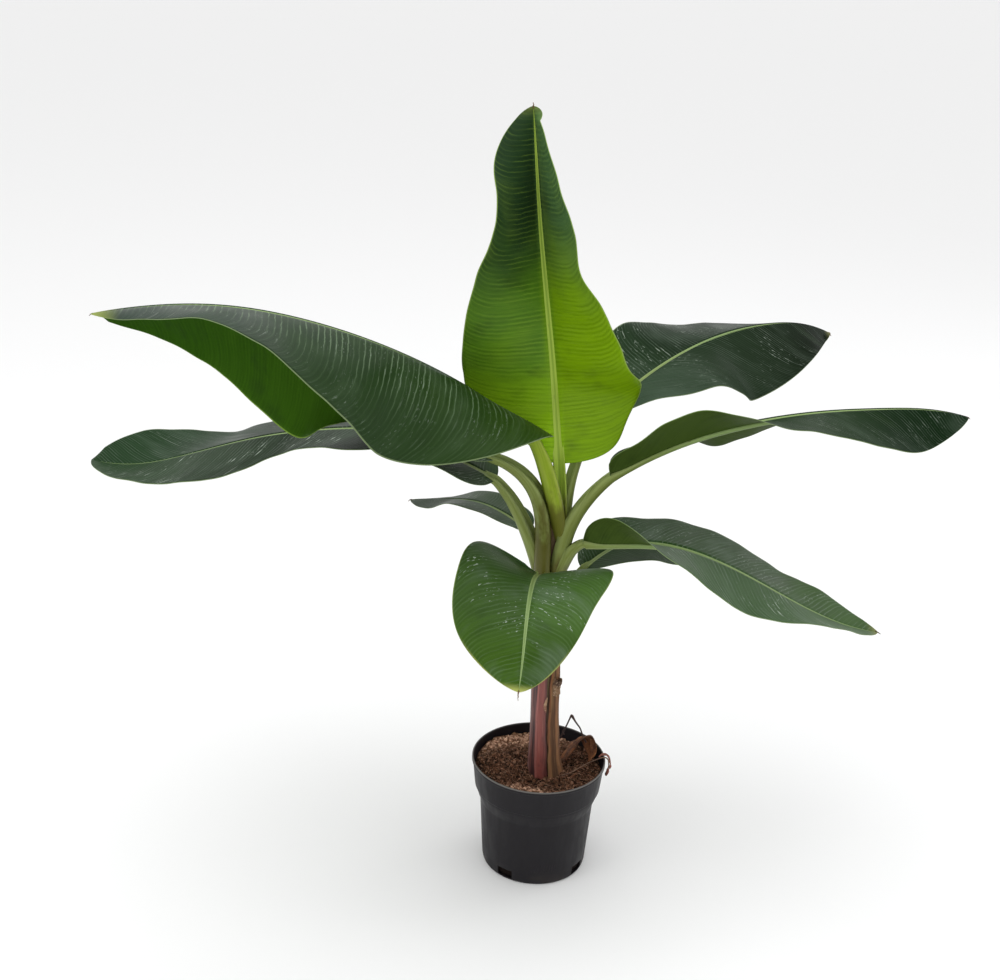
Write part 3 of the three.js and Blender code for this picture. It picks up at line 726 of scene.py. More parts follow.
# %% Stalk finish
def stalk_skin(name, stalk, rib, stain, reach):
    """stalk and rib are colours of the flanks, the gutter, the outside and the groove deep inside."""
    f = Finish(name, 0.45, 0.2)
    place = f.uv("place")
    around = f.maths("ABSOLUTE", f.minus(f.part(place, 0), 0.5))
    share = f.part(f.uv("share"), 0)
    body, channel, back, groove = (f.blend(share, low, high) for low, high in zip(stalk, rib))
    threads = f.streaks(520, 9, 3.0, 0.6)
    wide = f.streaks(140, 7, 2.0, 0.5)
    # Paler gutter and darker back: partly painted light from above and painted shade below.
    green = f.blend(f.step(around, 0.02, 0.17), back, body)
    green = f.blend(f.step(around, 0.20, 0.26), green, channel)
    green = f.blend(f.step(around, 0.43, 0.47), green, groove)
    green = f.blend(f.step(wide, 0.42, 0.66, 0.0, 0.45), green, channel)
    green = f.blend(f.step(threads, 0.50, 0.68, 0.0, 0.45), green, back)
    up = f.part(f.uv("vein"), 1)
    blotch = f.streaks(60, 22, 3.0, 0.6)
    foot = f.minus(f.times(blotch, reach), up)
    green = f.blend(f.step(foot, -0.01, 0.06, 0.0, 0.85), green, stain)
    mark = f.streaks(190, 45, 2.0, 0.5)
    green = f.blend(f.step(mark, 0.68, 0.74, 0.0, 0.6), green, stain)
    f.colour(green)
    f.relief(f.plus(f.times(threads, 0.5), wide), 0.0007, 0.6)
    return f.material


GREEN_RIB = ((0.195, 0.285, 0.090), (0.260, 0.365, 0.140), (0.120, 0.185, 0.036), (0.185, 0.275, 0.090))
LIME_RIB = ((0.270, 0.390, 0.022), (0.370, 0.510, 0.068), (0.170, 0.260, 0.010), (0.215, 0.335, 0.030))
OLIVE = ((0.175, 0.215, 0.048), (0.285, 0.345, 0.115), (0.092, 0.120, 0.016), (0.220, 0.280, 0.085))
LIME = ((0.240, 0.340, 0.012), (0.370, 0.450, 0.070), (0.150, 0.230, 0.006), (0.290, 0.380, 0.040))
STALK = stalk_skin("stalk_green", OLIVE, GREEN_RIB, (0.060, 0.038, 0.004), 0.125)
LIME_STALK = stalk_skin("lime_stalk", LIME, GREEN_RIB, (0.095, 0.090, 0.012), 0.19)
NEW_STALK = stalk_skin("new_stalk_green", LIME_RIB, LIME_RIB, (0.12, 0.085, 0.030), 0.10)
OLD_STALK = stalk_skin("old_stalk_green", OLIVE, GREEN_RIB, (0.078, 0.070, 0.006), 0.25)
print("stalk finishes", [skin.name for skin in (STALK, LIME_STALK, NEW_STALK, OLD_STALK)])

# %% Stalk sweep
STALK_ROWS = 60
RIB_ROWS = 140
MEETING = range(50, 72)
SMOOTHINGS = 5
GUTTER_FADE = 0.08
RIB_COLOUR_FROM = 0.9


def stalk_frames(name):
    """Frames and radii from a little inside the stem to the blade's tip, smoothed where they meet."""
    leaf = LEAVES[name]
    stalk, blade = PATHS[name]
    stalk_long = leaf["stalk"]["length"] * MM
    rows = []
    for i in range(STALK_ROWS + 1):
        t = i / STALK_ROWS
        rows.append([*frame_at(stalk, t), ramp(leaf["stalk"]["radius"], t), 1.0, t * stalk_long])
    for i in range(1, RIB_ROWS + 1):
        t = i / RIB_ROWS
        rows.append([*frame_at(blade, t), rib_radius(leaf, t), max(0, 1 - t / GUTTER_FADE) ** 2,
                     stalk_long + t * leaf["blade"]["length"] * MM])
    for _ in range(SMOOTHINGS):
        for i in MEETING:
            for k in (0, 1, 2):
                mean = (rows[i - 1][k] + rows[i + 1][k]) / 2
                rows[i][k] = rows[i][k].lerp(mean, 0.5)
    return rows


def gutter(v, radius, depth):
    """Section of a stalk (depth 1) or a rib (depth 0), v from -1 to 1 all the way round, in mm."""
    if abs(v) <= 0.5:
        a = math.radians(95 + 17 * depth) * (v / 0.5)
        return radius * math.sin(a), -0.92 * radius * math.cos(a)
    w = (1 - abs(v)) / 0.5 * math.copysign(1, v)
    lips, hollow, sink = 0.90 - 0.08 * depth, 0.22 + 0.68 * depth, 0.10 + 0.05 * depth
    return lips * radius * w, radius * (hollow * w * w - sink)


STALK_SKINS = {"top": NEW_STALK, "big_left": LIME_STALK, "low_left": OLD_STALK}


def grow_stalk(name, around=28):
    """One closed sweep from inside the stem to the tip of the leaf; its columns go round it."""
    rows = stalk_frames(name)
    stalk_long = LEAVES[name]["stalk"]["length"] * MM
    whole = rows[-1][5]

    def spot(across, along):
        turn = 2 * across - 1
        point, normal, side, radius, depth, run = rows[round(along * (len(rows) - 1))]
        x, y = gutter(turn, radius, depth)
        on_blade = min(1, max(0, run / stalk_long - RIB_COLOUR_FROM))
        maps = ((across, run / whole), (turn * radius * 3 * MM, run), (on_blade, 0))
        return point + (side * x + normal * y) * MM, maps

    shape = closed(sheet(around, len(rows) - 1, spot, ("place", "vein", "share")))
    piece("stalk_" + name, shape, [STALK_SKINS.get(name, STALK)], "leaf_stalk", "petiole_" + name)


for name in LEAVES:
    grow_stalk(name)

# %% [markdown]
# ## The stem
#
# What looks like a trunk is a bundle of leaf bases, each wrapped round the younger ones inside it.
# Its surface is therefore stepped: every base ends in a long edge that winds slowly up the stem.
# The sweep below lays a sheet round the stem's centre line. Its radius drops a little at each of
# those edges, and fine ribs run upwards, because the base is full of long fibres. A texture could
# fake the steps, but moved vertices also show in the outline and in the exported mesh.

# %% Sheets laid round the stem
STEM = {"foot": 150, "top": 588, "x": [10, 5, 2, -1, 3], "y": [0, 0, 1, 1, 0],
        "radius": [23, 19, 18.5, 17.5, 12], "mean_radius": 20, "step": 0.9}


def stem_at(z):
    """Centre and radius of the stem at a height, in millimetres."""
    t = (z - STEM["foot"]) / (STEM["top"] - STEM["foot"])
    return ramp(STEM["x"], t), ramp(STEM["y"], t), ramp(STEM["radius"], t)


def wrapped(columns, rows, spot):
    """A sheet round the stem; spot(across, along) says its angle, height and radius."""
    def place(across, along):
        angle, z, radius = spot(across, along)
        x, y, _ = stem_at(z)
        turn = math.radians(angle)
        point = Vector((x + radius * math.cos(turn), y + radius * math.sin(turn), z)) * MM
        return point, ((across, along), (turn * STEM["mean_radius"] * MM, z * MM))

    return sheet(columns, rows, place)


def ribs(angle, z, seed):
    """Long fine fibres: quick round the stem and slow along it, from -1 to 1."""
    return noise.noise(Vector((math.radians(angle) * 14, z / 90, seed)))


def base_edges(angle, z):
    """0 to 1: how far a point lies under the edge of the leaf base that covers it."""
    winding = angle / 360 * 3 + z / 420 + 0.25 * noise.noise(Vector((z / 120, angle / 200, 5)))
    return winding % 1.0


print("the stem is", 2 * stem_at(STEM["foot"])[2], "mm thick at its foot")

# %% [markdown]
# ### Fibrous skins
#
# A leaf base is a bundle of strings under a thin skin, so its colour comes in lengthwise bands,
# from one edge to the other, with finer streaks on top. The youngest bases are olive, the old one
# at the left is wine red with one dark gap, and the one at the right has dried to brown paper. On
# the red one, the bright pink band is a painted highlight and the darkening towards its edge beside
# the dry base is painted shade. The bands are a row of soft steps across the UV map, which one
# function can lay for all three.

# %% Stem finish
FRAYED = (0.40, 0.28, 0.17)


def fibre_skin(name, bands, streak, dark, fray=0.0, rough=0.6, depth=0.0006):
    """Each of the bands is its far end and its colour; streak and dark are long fibres."""
    f = Finish(name, rough)
    place = f.uv("place")
    across, along = f.part(place, 0), f.part(place, 1)
    drift = f.streaks(30, 5, 2.0)
    across = f.plus(across, f.times(f.minus(drift, 0.5), 0.10))
    tone = bands[0][1]
    for (at, _), (_, colour) in zip(bands, bands[1:]):
        tone = f.blend(f.step(across, at, at + 0.035), tone, colour)
    long = f.streaks(900, 12, 3.0, 0.65)
    wide = f.streaks(240, 9, 2.0, 0.6)
    tone = f.blend(f.step(wide, 0.46, 0.66, 0.0, 0.65), tone, streak)
    tone = f.blend(f.step(long, 0.52, 0.68, 0.0, 0.75), tone, dark)
    blotch = f.streaks(60, 30, 3.0, 0.6)
    tone = f.blend(f.step(blotch, 0.56, 0.72, 0.0, 0.55), tone, dark)
    if fray:
        tone = f.blend(f.step(along, fray, 1.0, 0.0, 0.8), tone, FRAYED)
    f.colour(tone)
    f.relief(f.plus(f.times(wide, 0.6), f.times(long, 0.6)), depth, 0.8)
    f.roughness(f.step(long, 0.3, 0.7, rough - 0.10, rough + 0.12))
    return f.material


STEM_SKIN = fibre_skin("stem_bases", [(0, (0.14, 0.098, 0.022)), (0.30, (0.090, 0.064, 0.014)),
                                      (0.58, (0.115, 0.060, 0.018)), (0.80, (0.070, 0.038, 0.012))],
                       (0.185, 0.140, 0.036), (0.030, 0.013, 0.005))
# The bright pink band from 0.745 is a painted highlight, and the darker bands from 0.94 to the edge beside
# the dry base are painted shade.
RED_SKIN = fibre_skin("red_base", [(0, (0.16, 0.075, 0.06)), (0.54, (0.15, 0.08, 0.075)),
                                   (0.70, (0.035, 0.012, 0.012)), (0.745, (0.30, 0.095, 0.080)),
                                   (0.88, (0.21, 0.054, 0.043)), (0.94, (0.13, 0.030, 0.024)),
                                   (0.98, (0.060, 0.018, 0.014))],
                      (0.27, 0.095, 0.075), (0.095, 0.028, 0.026), fray=0.93, rough=0.5)
DRY_SKIN = fibre_skin("dry_base", [(0, (0.050, 0.018, 0.006)), (0.05, (0.190, 0.072, 0.025)),
                                   (0.20, (0.085, 0.036, 0.013)), (0.30, (0.230, 0.100, 0.038)),
                                   (0.74, (0.14, 0.056, 0.019))],
                      (0.250, 0.135, 0.055), (0.036, 0.013, 0.006), fray=0.9, rough=0.85, depth=0.0009)
print("fibrous finishes", [skin.name for skin in (STEM_SKIN, RED_SKIN, DRY_SKIN)])

# %% Stem and old leaf bases
def stem_spot(across, along):
    angle = 360 * across
    z = STEM["foot"] + (STEM["top"] - STEM["foot"]) * along
    under = STEM["step"] * base_edges(angle % 360, z)
    return angle, z, stem_at(z)[2] - under + 0.25 * ribs(angle % 360, z, 1.0)


piece("stem", closed(wrapped(120, 150, stem_spot)), [STEM_SKIN], "stem_green", "pseudostem")

BASES = {
    "red_sheath": {"from": 170.4, "root": 157, "to": 438, "start": [108, 116, 150, 215],
                   "end": [282, 278, 278, 262], "thick": 2.6, "skin": RED_SKIN, "tear": 5, "edge": 2.5},
    "dry_sheath": {"from": 170.4, "root": 155, "to": 402, "start": [284, 282, 290, 312],
                   "end": [462, 452, 430, 402], "thick": 3.0, "skin": DRY_SKIN, "tear": 16, "edge": 4},
}
BASE_THICK = 1.0
EDGE_PROUD = 1.5
EDGE_THICK = 1.1
FOOT_FLARE = {"dry_sheath": 3.0}


def grow_base(name):
    """An old leaf base: a shell that thins out to its two edges, with a torn top."""
    spec = BASES[name]

    def spot(across, along):
        tear = spec["tear"] * abs(noise.noise(Vector((across * 9, 3.1, spec["tear"]))))
        z = spec["root"] + (spec["to"] - tear - spec["root"]) * along
        share = max(0, (z - spec["from"]) / (spec["to"] - spec["from"]))
        wander = spec["edge"] * noise.noise(Vector((z / 22, 8.0, spec["tear"])))
        start, end = ramp(spec["start"], share) + wander, ramp(spec["end"], share) + wander
        angle = start + (end - start) * across
        body = min(1, across / 0.10, (1 - across) / 0.10) ** 0.5
        swell = 1.1 * noise.noise(Vector((across * 4, z / 70, 2.0 + spec["tear"])))
        flare = FOOT_FLARE.get(name, 0) * max(0, 1 - (z - spec["from"]) / 30) ** 2
        radius = stem_at(z)[2] + EDGE_PROUD + (spec["thick"] - EDGE_THICK) * body
        return angle, z, radius + swell * body + 0.45 * ribs(angle, z, spec["tear"]) + flare

    thicken(piece(name + "_peel", wrapped(70, 110, spot), [spec["skin"]], name, name), BASE_THICK)


for name in BASES:
    grow_base(name)

# %% [markdown]
# ## Dry scraps
#
# Nursery plants are not tidy: the end of an old stalk has broken off and bleached, a dead leaf
# lies crumpled on the peat and hangs over the rim on its dry stalk, and a thin twig loops up
# beside it. Such thin round things are sweeps: a ring of a few vertices carried along a path.

# %% Thin sweeps
def strand(shape, path, radii, sides=6, flat=1.0):
    """Adds a closed tapering tube along a path in millimetres to a bmesh."""
    rings = []
    for i, centre in enumerate(path):
        ahead = (path[min(i + 1, len(path) - 1)] - path[max(i - 1, 0)]).normalized()
        side = ahead.cross(Vector((0.13, 0.21, 0.97))).normalized()
        up = side.cross(ahead)
        radius = ramp(radii, i / (len(path) - 1))
        ring = bmesh.ops.create_circle(shape, segments=sides, radius=1.0)["verts"]
        for v in ring:
            v.co = (centre + side * v.co.x * radius + up * v.co.y * radius * flat) * MM
        rings.append(ring)
    edges = [list({e for v in ring for e in v.link_edges}) for ring in rings]
    for low, high in zip(edges, edges[1:]):
        bmesh.ops.bridge_loops(shape, edges=low + high)
    for ring in (rings[0], rings[-1]):
        bmesh.ops.contextual_create(shape, geom=ring)


def between(points, t):
    """A place on the smooth line through a few points, t from 0 to 1."""
    return Vector([ramp([q[k] for q in points], t) for k in range(3)])


def bend(points, steps, wobble=0.0, seed=0.0):
    """A smooth path in millimetres through a few given points, with a slight wobble."""
    return [between(points, i / steps) + wobble * noise.noise_vector(Vector((i / steps * 6, seed, 1.7)))
            for i in range(steps + 1)]


print("sweep helpers ready")

# %% [markdown]
# ### Dead and dry
#
# What has died on a plant loses its green first and its smoothness next. All of the scraps share
# one recipe with other browns: large patches, a fine grain of paler fibres, and no gloss. It reads
# Object coordinates and no UV map, because such small crumpled things show no direction.

# %% Finish of dry things
def scrap_skin(name, brown, pale, dark):
    f = Finish(name, 0.85)
    grain = f.cloud(f.spot(), 380.0, 3.0, 0.6)
    patch = f.cloud(f.spot(), 60.0, 3.0, 0.55)
    tone = f.blend(f.step(patch, 0.38, 0.62), dark, brown)
    tone = f.blend(f.step(grain, 0.52, 0.72, 0.0, 0.7), tone, pale)
    f.colour(tone)
    f.relief(f.plus(grain, patch), 0.0007, 0.8)
    return f.material


DRY_LEAF = scrap_skin("dead_leaf_brown", (0.235, 0.085, 0.030), (0.36, 0.17, 0.07), (0.085, 0.030, 0.014))
DRY_STALK = scrap_skin("dry_stalk_straw", (0.21, 0.125, 0.080), (0.32, 0.20, 0.13), (0.10, 0.052, 0.035))
BROKEN = scrap_skin("broken_end", (0.230, 0.130, 0.066), (0.48, 0.35, 0.23), (0.060, 0.028, 0.014))
REDDISH = scrap_skin("dry_curl_red", (0.26, 0.085, 0.058), (0.36, 0.17, 0.11), (0.09, 0.028, 0.020))
TWIG = scrap_skin("dark_twig", (0.060, 0.034, 0.028), (0.12, 0.075, 0.055), (0.028, 0.016, 0.013))
TIP_BROWN = scrap_skin("dry_tip_brown", (0.16, 0.085, 0.035), (0.34, 0.24, 0.10), (0.060, 0.026, 0.012))


DRY_FINISHES = (DRY_LEAF, DRY_STALK, BROKEN, REDDISH, TWIG, TIP_BROWN)
print("dry finishes", [finish.name for finish in DRY_FINISHES])

# %% [markdown]
# ### Small damage
#
# Each leaf unrolls from a thin thread, which dries up and stays on its tip. The broken stalk end
# is a tube whose lip is ragged and whose inside is hollow, and a flap of torn skin stands off the
# red base. They are sweeps and bent sheets again; sculpting them would look no better at this size.

# %% Dry threads at the leaf tips
TIP_THREADS = {"top": (7, 1.5), "front": (14, 1.3), "right_back": (9, 1.6), "low_right": (8, 1.6),
               "mid_right": (6, 1.2), "small_left": (9, 1.6), "big_left": (5, 1.2)}

for name, (length, thick) in TIP_THREADS.items():
    point, normal, _ = PATHS[name][1][-1]
    ahead = (point - PATHS[name][1][-8][0]).normalized()
    start = point / MM - ahead * 3
    ends = [start, start + ahead * 0.45 * length, start + ahead * length - normal * 0.35 * length]
    thread = bmesh.new()
    strand(thread, bend(ends, 12, 0.9, length), [thick, 0.8 * thick, 0.5], sides=6, flat=0.6)
    piece("dry_tip_" + name, thread, [TIP_BROWN], "leaf_new" if name == "top" else "leaf_green",
          "leaf_" + name)

# %% The broken stalk end
def laid(columns, rows, spot):
    """A sheet without UV maps whose vertices go to spot(across, along), in millimetres."""
    return sheet(columns, rows, lambda across, along: (spot(across, along) * MM, ()), ())


STUB = {"root": [18.5, -11.5, 302], "limb": {"length": 34, "rise": [88, 80, 64], "head": 320},
        "radius": [7.8, 6.4], "lip": 0.72}
stub_path = walk([v * MM for v in STUB["root"]], STUB["limb"])


def stub_spot(across, along):
    """Up the outside to a ragged lip, then down the hollow inside."""
    turn = 2 * math.pi * across
    ragged = 0.5 + 0.5 * noise.noise(Vector((2.2 * math.cos(turn), 2.2 * math.sin(turn), 3.3)))
    rise = min(1, along / STUB["lip"]) * (0.80 + 0.20 * ragged)
    inside = max(0, (along - STUB["lip"]) / (1 - STUB["lip"]))
    point, normal, right = frame_at(stub_path, rise - 0.24 * inside)
    shreds = Vector((math.cos(turn) * 3.2, math.sin(turn) * 3.2, rise * 4))
    radius = ramp(STUB["radius"], rise) + 1.6 * noise.noise(shreds)
    radius *= min(1, along / 0.02) * (1 - inside) ** 0.6 * (1 - 0.12 * (inside > 0))
    return point / MM + (right * math.cos(turn) + normal * math.sin(turn)) * radius


piece("broken_stalk", closed(laid(40, 60, stub_spot)), [BROKEN], "dry_scraps", "old_stub")

# %% The torn flap on the stem
TORN = scrap_skin("torn_skin", (0.42, 0.27, 0.16), (0.58, 0.44, 0.30), (0.20, 0.085, 0.050))
flap = bmesh.new()
strand(flap, bend([(7, -22, 302), (5, -26.5, 295), (4, -27.5, 286), (6, -23, 276)], 20, 0.6, 7.0),
       [0.7, 2.2, 2.8, 0.7], sides=8, flat=0.3)
piece("torn_flap", flap, [TORN], "red_sheath", "red_sheath")

# %% [markdown]
# ### The dead leaf
#
# A dead banana leaf turns to brown paper. Its blade is a short crumpled strip along a bent line,
# with creases that run lengthwise, and its stalk has shrunk to a flat string that hangs over the
# rim. Cloth simulation could crumple it too, but the few folds in view are easier to place by rule.

# %% The dead leaf, its stalk and the twig
DEAD_LEAF_PATH = [(38, 14, 168), (50, 26, 184), (66, 38, 197), (80, 42, 194), (86, 30, 178), (82, 16, 170)]
DRY_STALK_PATH = [(37, -24, 167), (52, -20, 170), (70, -12, 178), (88, -6, 185), (101, -3, 189),
                  (109, -2, 185), (111, -3, 174), (108, -5, 164)]
TWIG_PATH = [(34, 38, 196), (38, 38, 206), (44, 39, 222), (49, 40, 234), (51, 40, 236), (56, 40, 228),
             (63, 40, 217), (67, 40, 208), (70, 40, 200), (76, 38, 190)]


def dead_leaf_spot(across, along):
    """A crumpled strip: broad in the middle, with creases along it."""
    centre = between(DEAD_LEAF_PATH, along)
    width = 5 + 12 * math.sin(math.pi * min(1, along * 1.1)) ** 0.6
    side = across * 2 - 1
    crease = 2.6 * math.cos(side * 7 + along * 4)
    crumple = 3.2 * noise.noise_vector(Vector((side * 1.6, along * 6, 1.4)))
    return centre + Vector((0.55, -0.55, 0.62)) * side * width + Vector((0.3, 0.8, 0.5)) * crease + crumple


PAPER_THICK = 0.5
thicken(piece("dead_leaf_blade", laid(26, 70, dead_leaf_spot), [DRY_LEAF], "dry_scraps", "dead_leaf"),
        PAPER_THICK)
sticks = bmesh.new()
strand(sticks, bend(DRY_STALK_PATH, 60, 0.8, 2.0), [1.3, 1.0, 0.9, 1.0, 1.3, 1.6, 1.4, 1.0],
       sides=10, flat=0.7)
piece("dead_leaf_stalk", sticks, [DRY_STALK], "dry_scraps", "dead_leaf")
curl = bmesh.new()
strand(curl, bend([(94, -1, 188), (101, 1, 192), (108, 2, 190), (113, 0, 180), (113, -3, 168)], 30, 1.0, 6.0),
       [1.8, 4.4, 5.4, 3.6, 1.2], sides=12, flat=0.28)
strand(curl, bend([(111, -3, 171), (109, -5, 163), (107, -6, 158)], 14, 0.5, 9.0), [1.4, 3.2, 2.0],
       sides=10, flat=0.8)
piece("dead_leaf_curl", curl, [REDDISH], "dry_scraps", "dead_leaf")
twigs = bmesh.new()
strand(twigs, bend(TWIG_PATH, 60, 0.9, 4.0), [1.5, 1.4, 1.3, 2.4, 1.5, 1.2, 1.3, 1.5], sides=7)
strand(twigs, bend([(40, 36, 204), (37, 34, 211), (42, 35, 219)], 20, 0.6, 5.0), [1.0, 0.9, 0.6], sides=6)
piece("looped_twig", twigs, [TWIG], "dry_scraps", "dead_leaf")

# %% [markdown]
# ## The potting soil
#
# The pot is filled with coarse fibrous peat. It is heaped up at the left and the back, where it
# comes close under the rim, and sunken beside the stem. The surface is a grid bent round into a
# disc and carried on down the wall, so it is a closed body. Crumbs are small uneven balls and the
# fibres are thin tubes, strewn with a fixed seed and half sunk into the surface.

# %% Soil surface
SOIL = {"level": 163, "edge": 99.6, "top_share": 0.8,
        "down": [(98.6, 158), (95.6, 131), (86.6, 111), (79.4, 9), (76, 4), (0, 4)]}


def soil_height(x, y):
    """Height of the peat in millimetres."""
    heap = 12 * math.exp(-((x + 50) ** 2 + (y - 46) ** 2) / 46 ** 2)
    front = 8 * math.exp(-((x + 22) ** 2 + (y + 84) ** 2) / 30 ** 2)
    hollow = 9 * math.exp(-((x + 14) ** 2 + (y + 38) ** 2) / 28 ** 2)
    lumps = 4.2 * noise.noise(Vector((x / 15, y / 15, 4))) + 3.0 * noise.noise(Vector((x / 6, y / 6, 9)))
    return SOIL["level"] + heap + front - hollow + lumps


def soil_spot(across, along):
    turn = 2 * math.pi * across
    if along <= SOIL["top_share"]:
        x, y = (SOIL["edge"] * along / SOIL["top_share"] * f for f in (math.cos(turn), math.sin(turn)))
        return Vector((x, y, soil_height(x, y)))
    share = (along - SOIL["top_share"]) / (1 - SOIL["top_share"]) * (len(SOIL["down"]) - 1)
    i = min(int(share), len(SOIL["down"]) - 2)
    (r0, z0), (r1, z1) = SOIL["down"][i], SOIL["down"][i + 1]
    radius, z = r0 + (r1 - r0) * (share - i), z0 + (z1 - z0) * (share - i)
    return Vector((radius * math.cos(turn), radius * math.sin(turn), z))


print("the peat is", round(soil_height(-50, 46) - soil_height(-14, -38)), "mm higher at its heap")

# %% Soil finish
PAINTED_DEEP_SHADE = (0.007, 0.004, 0.003)


def soil_skin(name, light, middle, dark, scale):
    """The peat is paler at the left, the back and the front, where it is heaped up: painted light."""
    f = Finish(name, 0.95, 0.1)
    place = f.spot()
    x, y = f.part(place, 0), f.part(place, 1)
    back = f.step(f.minus(y, f.times(x, 0.35)), 0.036, 0.082)
    aside = f.maths("ABSOLUTE", f.plus(x, 0.025))
    front = f.step(f.plus(y, f.times(aside, 0.6)), -0.036, -0.062)
    # dry is painted light: it marks where the peat is painted paler, at the back and the front.
    dry = f.maths("MAXIMUM", back, front)
    tone = f.blend(f.step(f.cloud(place, scale, 2.0, 0.6), 0.36, 0.58), dark, middle)
    # The pale tone laid there is painted light on the peat.
    pale = f.step(f.cloud(f.spot((1, 1, 1.3)), scale * 1.7, 1.0), 0.50, 0.64)
    tone = f.blend(f.times(pale, f.step(dry, 0.0, 1.0, 0.20, 1.0)), tone, light)
    tone = f.blend(f.times(dry, 0.55), tone, f.blend(0.8, middle, light))
    # Painted shade: below 13 cm, inside the pot, the peat is painted nearly black.
    tone = f.blend(f.step(f.part(place, 2), 0.13, 0.09), tone, PAINTED_DEEP_SHADE)
    f.colour(tone)
    f.relief(f.cloud(f.spot(), 900.0, 3.0, 0.7), 0.0012, 0.9)
    return f.material


PEAT = soil_skin("peat", (0.340, 0.180, 0.106), (0.080, 0.037, 0.021), (0.010, 0.005, 0.003), 150.0)
# The crumbs' palest tan, almost white, is partly painted highlight on them.
CRUMB = soil_skin("peat_crumbs", (0.95, 0.59, 0.41), (0.172, 0.077, 0.043), (0.019, 0.009, 0.005), 130.0)
FIBRE = scrap_skin("peat_fibres", (0.40, 0.20, 0.12), (0.66, 0.44, 0.31), (0.15, 0.060, 0.030))
piece("peat_body", closed(laid(220, 110, soil_spot)), [PEAT], "potting_soil", "root_ball")

# %% [markdown]
# ### Loose peat
#
# A bump map alone leaves soil looking like a painted board, because no crumb throws a shadow. So
# loose crumbs and fibres are strewn on top. Particles would do it in the editor, but here each is
# a tiny mesh that is joined into one piece, because the part has to be real geometry.

# %% Crumbs and fibres
dice = random.Random(11)
CRUMBS = {"count": 2200, "reach": 97}
FIBRES = {"count": 330, "reach": 90, "limit": 98}
STEM_CLEAR = {"x": 9, "radius": 25}
BATCH = 50
FULL_TURN = 6.28


def strewn(reach):
    """A random place on the soil, outside the stem."""
    while True:
        x, y = dice.uniform(-reach, reach), dice.uniform(-reach, reach)
        if math.hypot(x, y) < reach and math.hypot(x - STEM_CLEAR["x"], y) > STEM_CLEAR["radius"]:
            return x, y


def in_batches(count, add_one):
    """Calls add_one on small meshes and joins them, which is much quicker than one that keeps growing."""
    whole = bmesh.new()
    for start in range(0, count, BATCH):
        batch = bmesh.new()
        for _ in range(min(BATCH, count - start)):
            add_one(batch)
        sheaf = bpy.data.meshes.new("sheaf")
        batch.to_mesh(sheaf)
        batch.free()
        whole.from_mesh(sheaf)
        bpy.data.meshes.remove(sheaf)
    return whole


def add_crumb(shape):
    x, y = strewn(CRUMBS["reach"])
    size = dice.choice((0.9, 1.2, 1.5, 1.9, 2.7))
    uneven = Matrix.Diagonal((dice.uniform(0.7, 1.5), dice.uniform(0.6, 1.1), dice.uniform(0.5, 1.0), 1))
    tumble = Matrix.Rotation(dice.uniform(0, FULL_TURN), 4, "Z")
    tumble = tumble @ Matrix.Rotation(dice.uniform(-0.9, 0.9), 4, "X")
    place = Matrix.Translation(Vector((x, y, soil_height(x, y) + 0.35 * size)) * MM)
    bmesh.ops.create_icosphere(shape, subdivisions=1, radius=size * MM, matrix=place @ tumble @ uneven)


def add_fibre(shape):
    x, y = strewn(FIBRES["reach"])
    heading, length = dice.uniform(0, FULL_TURN), dice.uniform(6, 20)
    along = Vector((math.cos(heading), math.sin(heading), 0)) * length / 2
    arch = dice.uniform(0.8, 4.0)
    ends = [Vector((x, y, 0)) - along, Vector((x, y, arch)), Vector((x, y, 0)) + along]
    ends = [Vector((e.x, e.y, e.z + soil_height(e.x, e.y) + 0.3)) for e in ends]
    if max(math.hypot(e.x, e.y) for e in ends) < FIBRES["limit"]:
        strand(shape, bend(ends, 6, 1.2, dice.uniform(0, 90)), [0.2, 0.34, 0.16], sides=3)


crumbs = in_batches(CRUMBS["count"], add_crumb)
piece("peat_crumbs", crumbs, [CRUMB], "potting_soil", "root_ball").data.shade_flat()
piece("peat_fibres", in_batches(FIBRES["count"], add_fibre), [FIBRE], "potting_soil", "root_ball")

# %% [markdown]
# ## The pot
#
# A thin moulded nursery pot of matt black plastic. Its wall is drawn as one closed line of radius
# and height, outside up and inside down, and carried once round the axis. It narrows in through
# a sloping shoulder, so that pots stack, and the collar ends in a plain band. Four drain slots are
# opened by taking out the faces of both walls there and bridging the two holes, which leaves a
# cleaner edge than a Boolean. Between them stand short rows of ribs, which the finish draws.

# %% Pot
POT_OUTSIDE = [(0, 0), (40, 0), (77.0, 0), (79.2, 0.6), (80.6, 1.9), (81.4, 4), (82.0, 6.4), (82.5, 9),
               (82.8, 13), (83.2, 19), (83.9, 29), (84.9, 44), (86.3, 64), (87.7, 85), (89.0, 104),
               (89.5, 110), (89.8, 112.2), (90.5, 114.6), (93.4, 122.6), (96.0, 130.4), (96.8, 133.6),
               (97.0, 136.4), (98.3, 136.8), (98.9, 137.5), (99.1, 139), (99.9, 146), (101.5, 161),
               (102.9, 176.4), (103.2, 177.6), (104.2, 178.1), (104.8, 178.6), (105, 179.3), (105, 182.8),
               (104.8, 183.6), (104.2, 184)]
POT_INSIDE = [(102.9, 184), (102.5, 183.5), (102.3, 180), (101.0, 170), (99.0, 152), (96.6, 138),
              (94.8, 132), (91.0, 120), (87.6, 112.6), (86.9, 109), (85.6, 90), (83.8, 64), (82.2, 40),
              (80.8, 19), (80.3, 12), (79.0, 4), (77.4, 3.5), (40, 3.5), (0, 3.5)]
SLOTS = {"count": 4, "first": 56.5, "half": 9.4, "low": 4, "high": 19, "inner": 78}
POT_COLUMNS = 176

wall_line = POT_OUTSIDE + POT_INSIDE


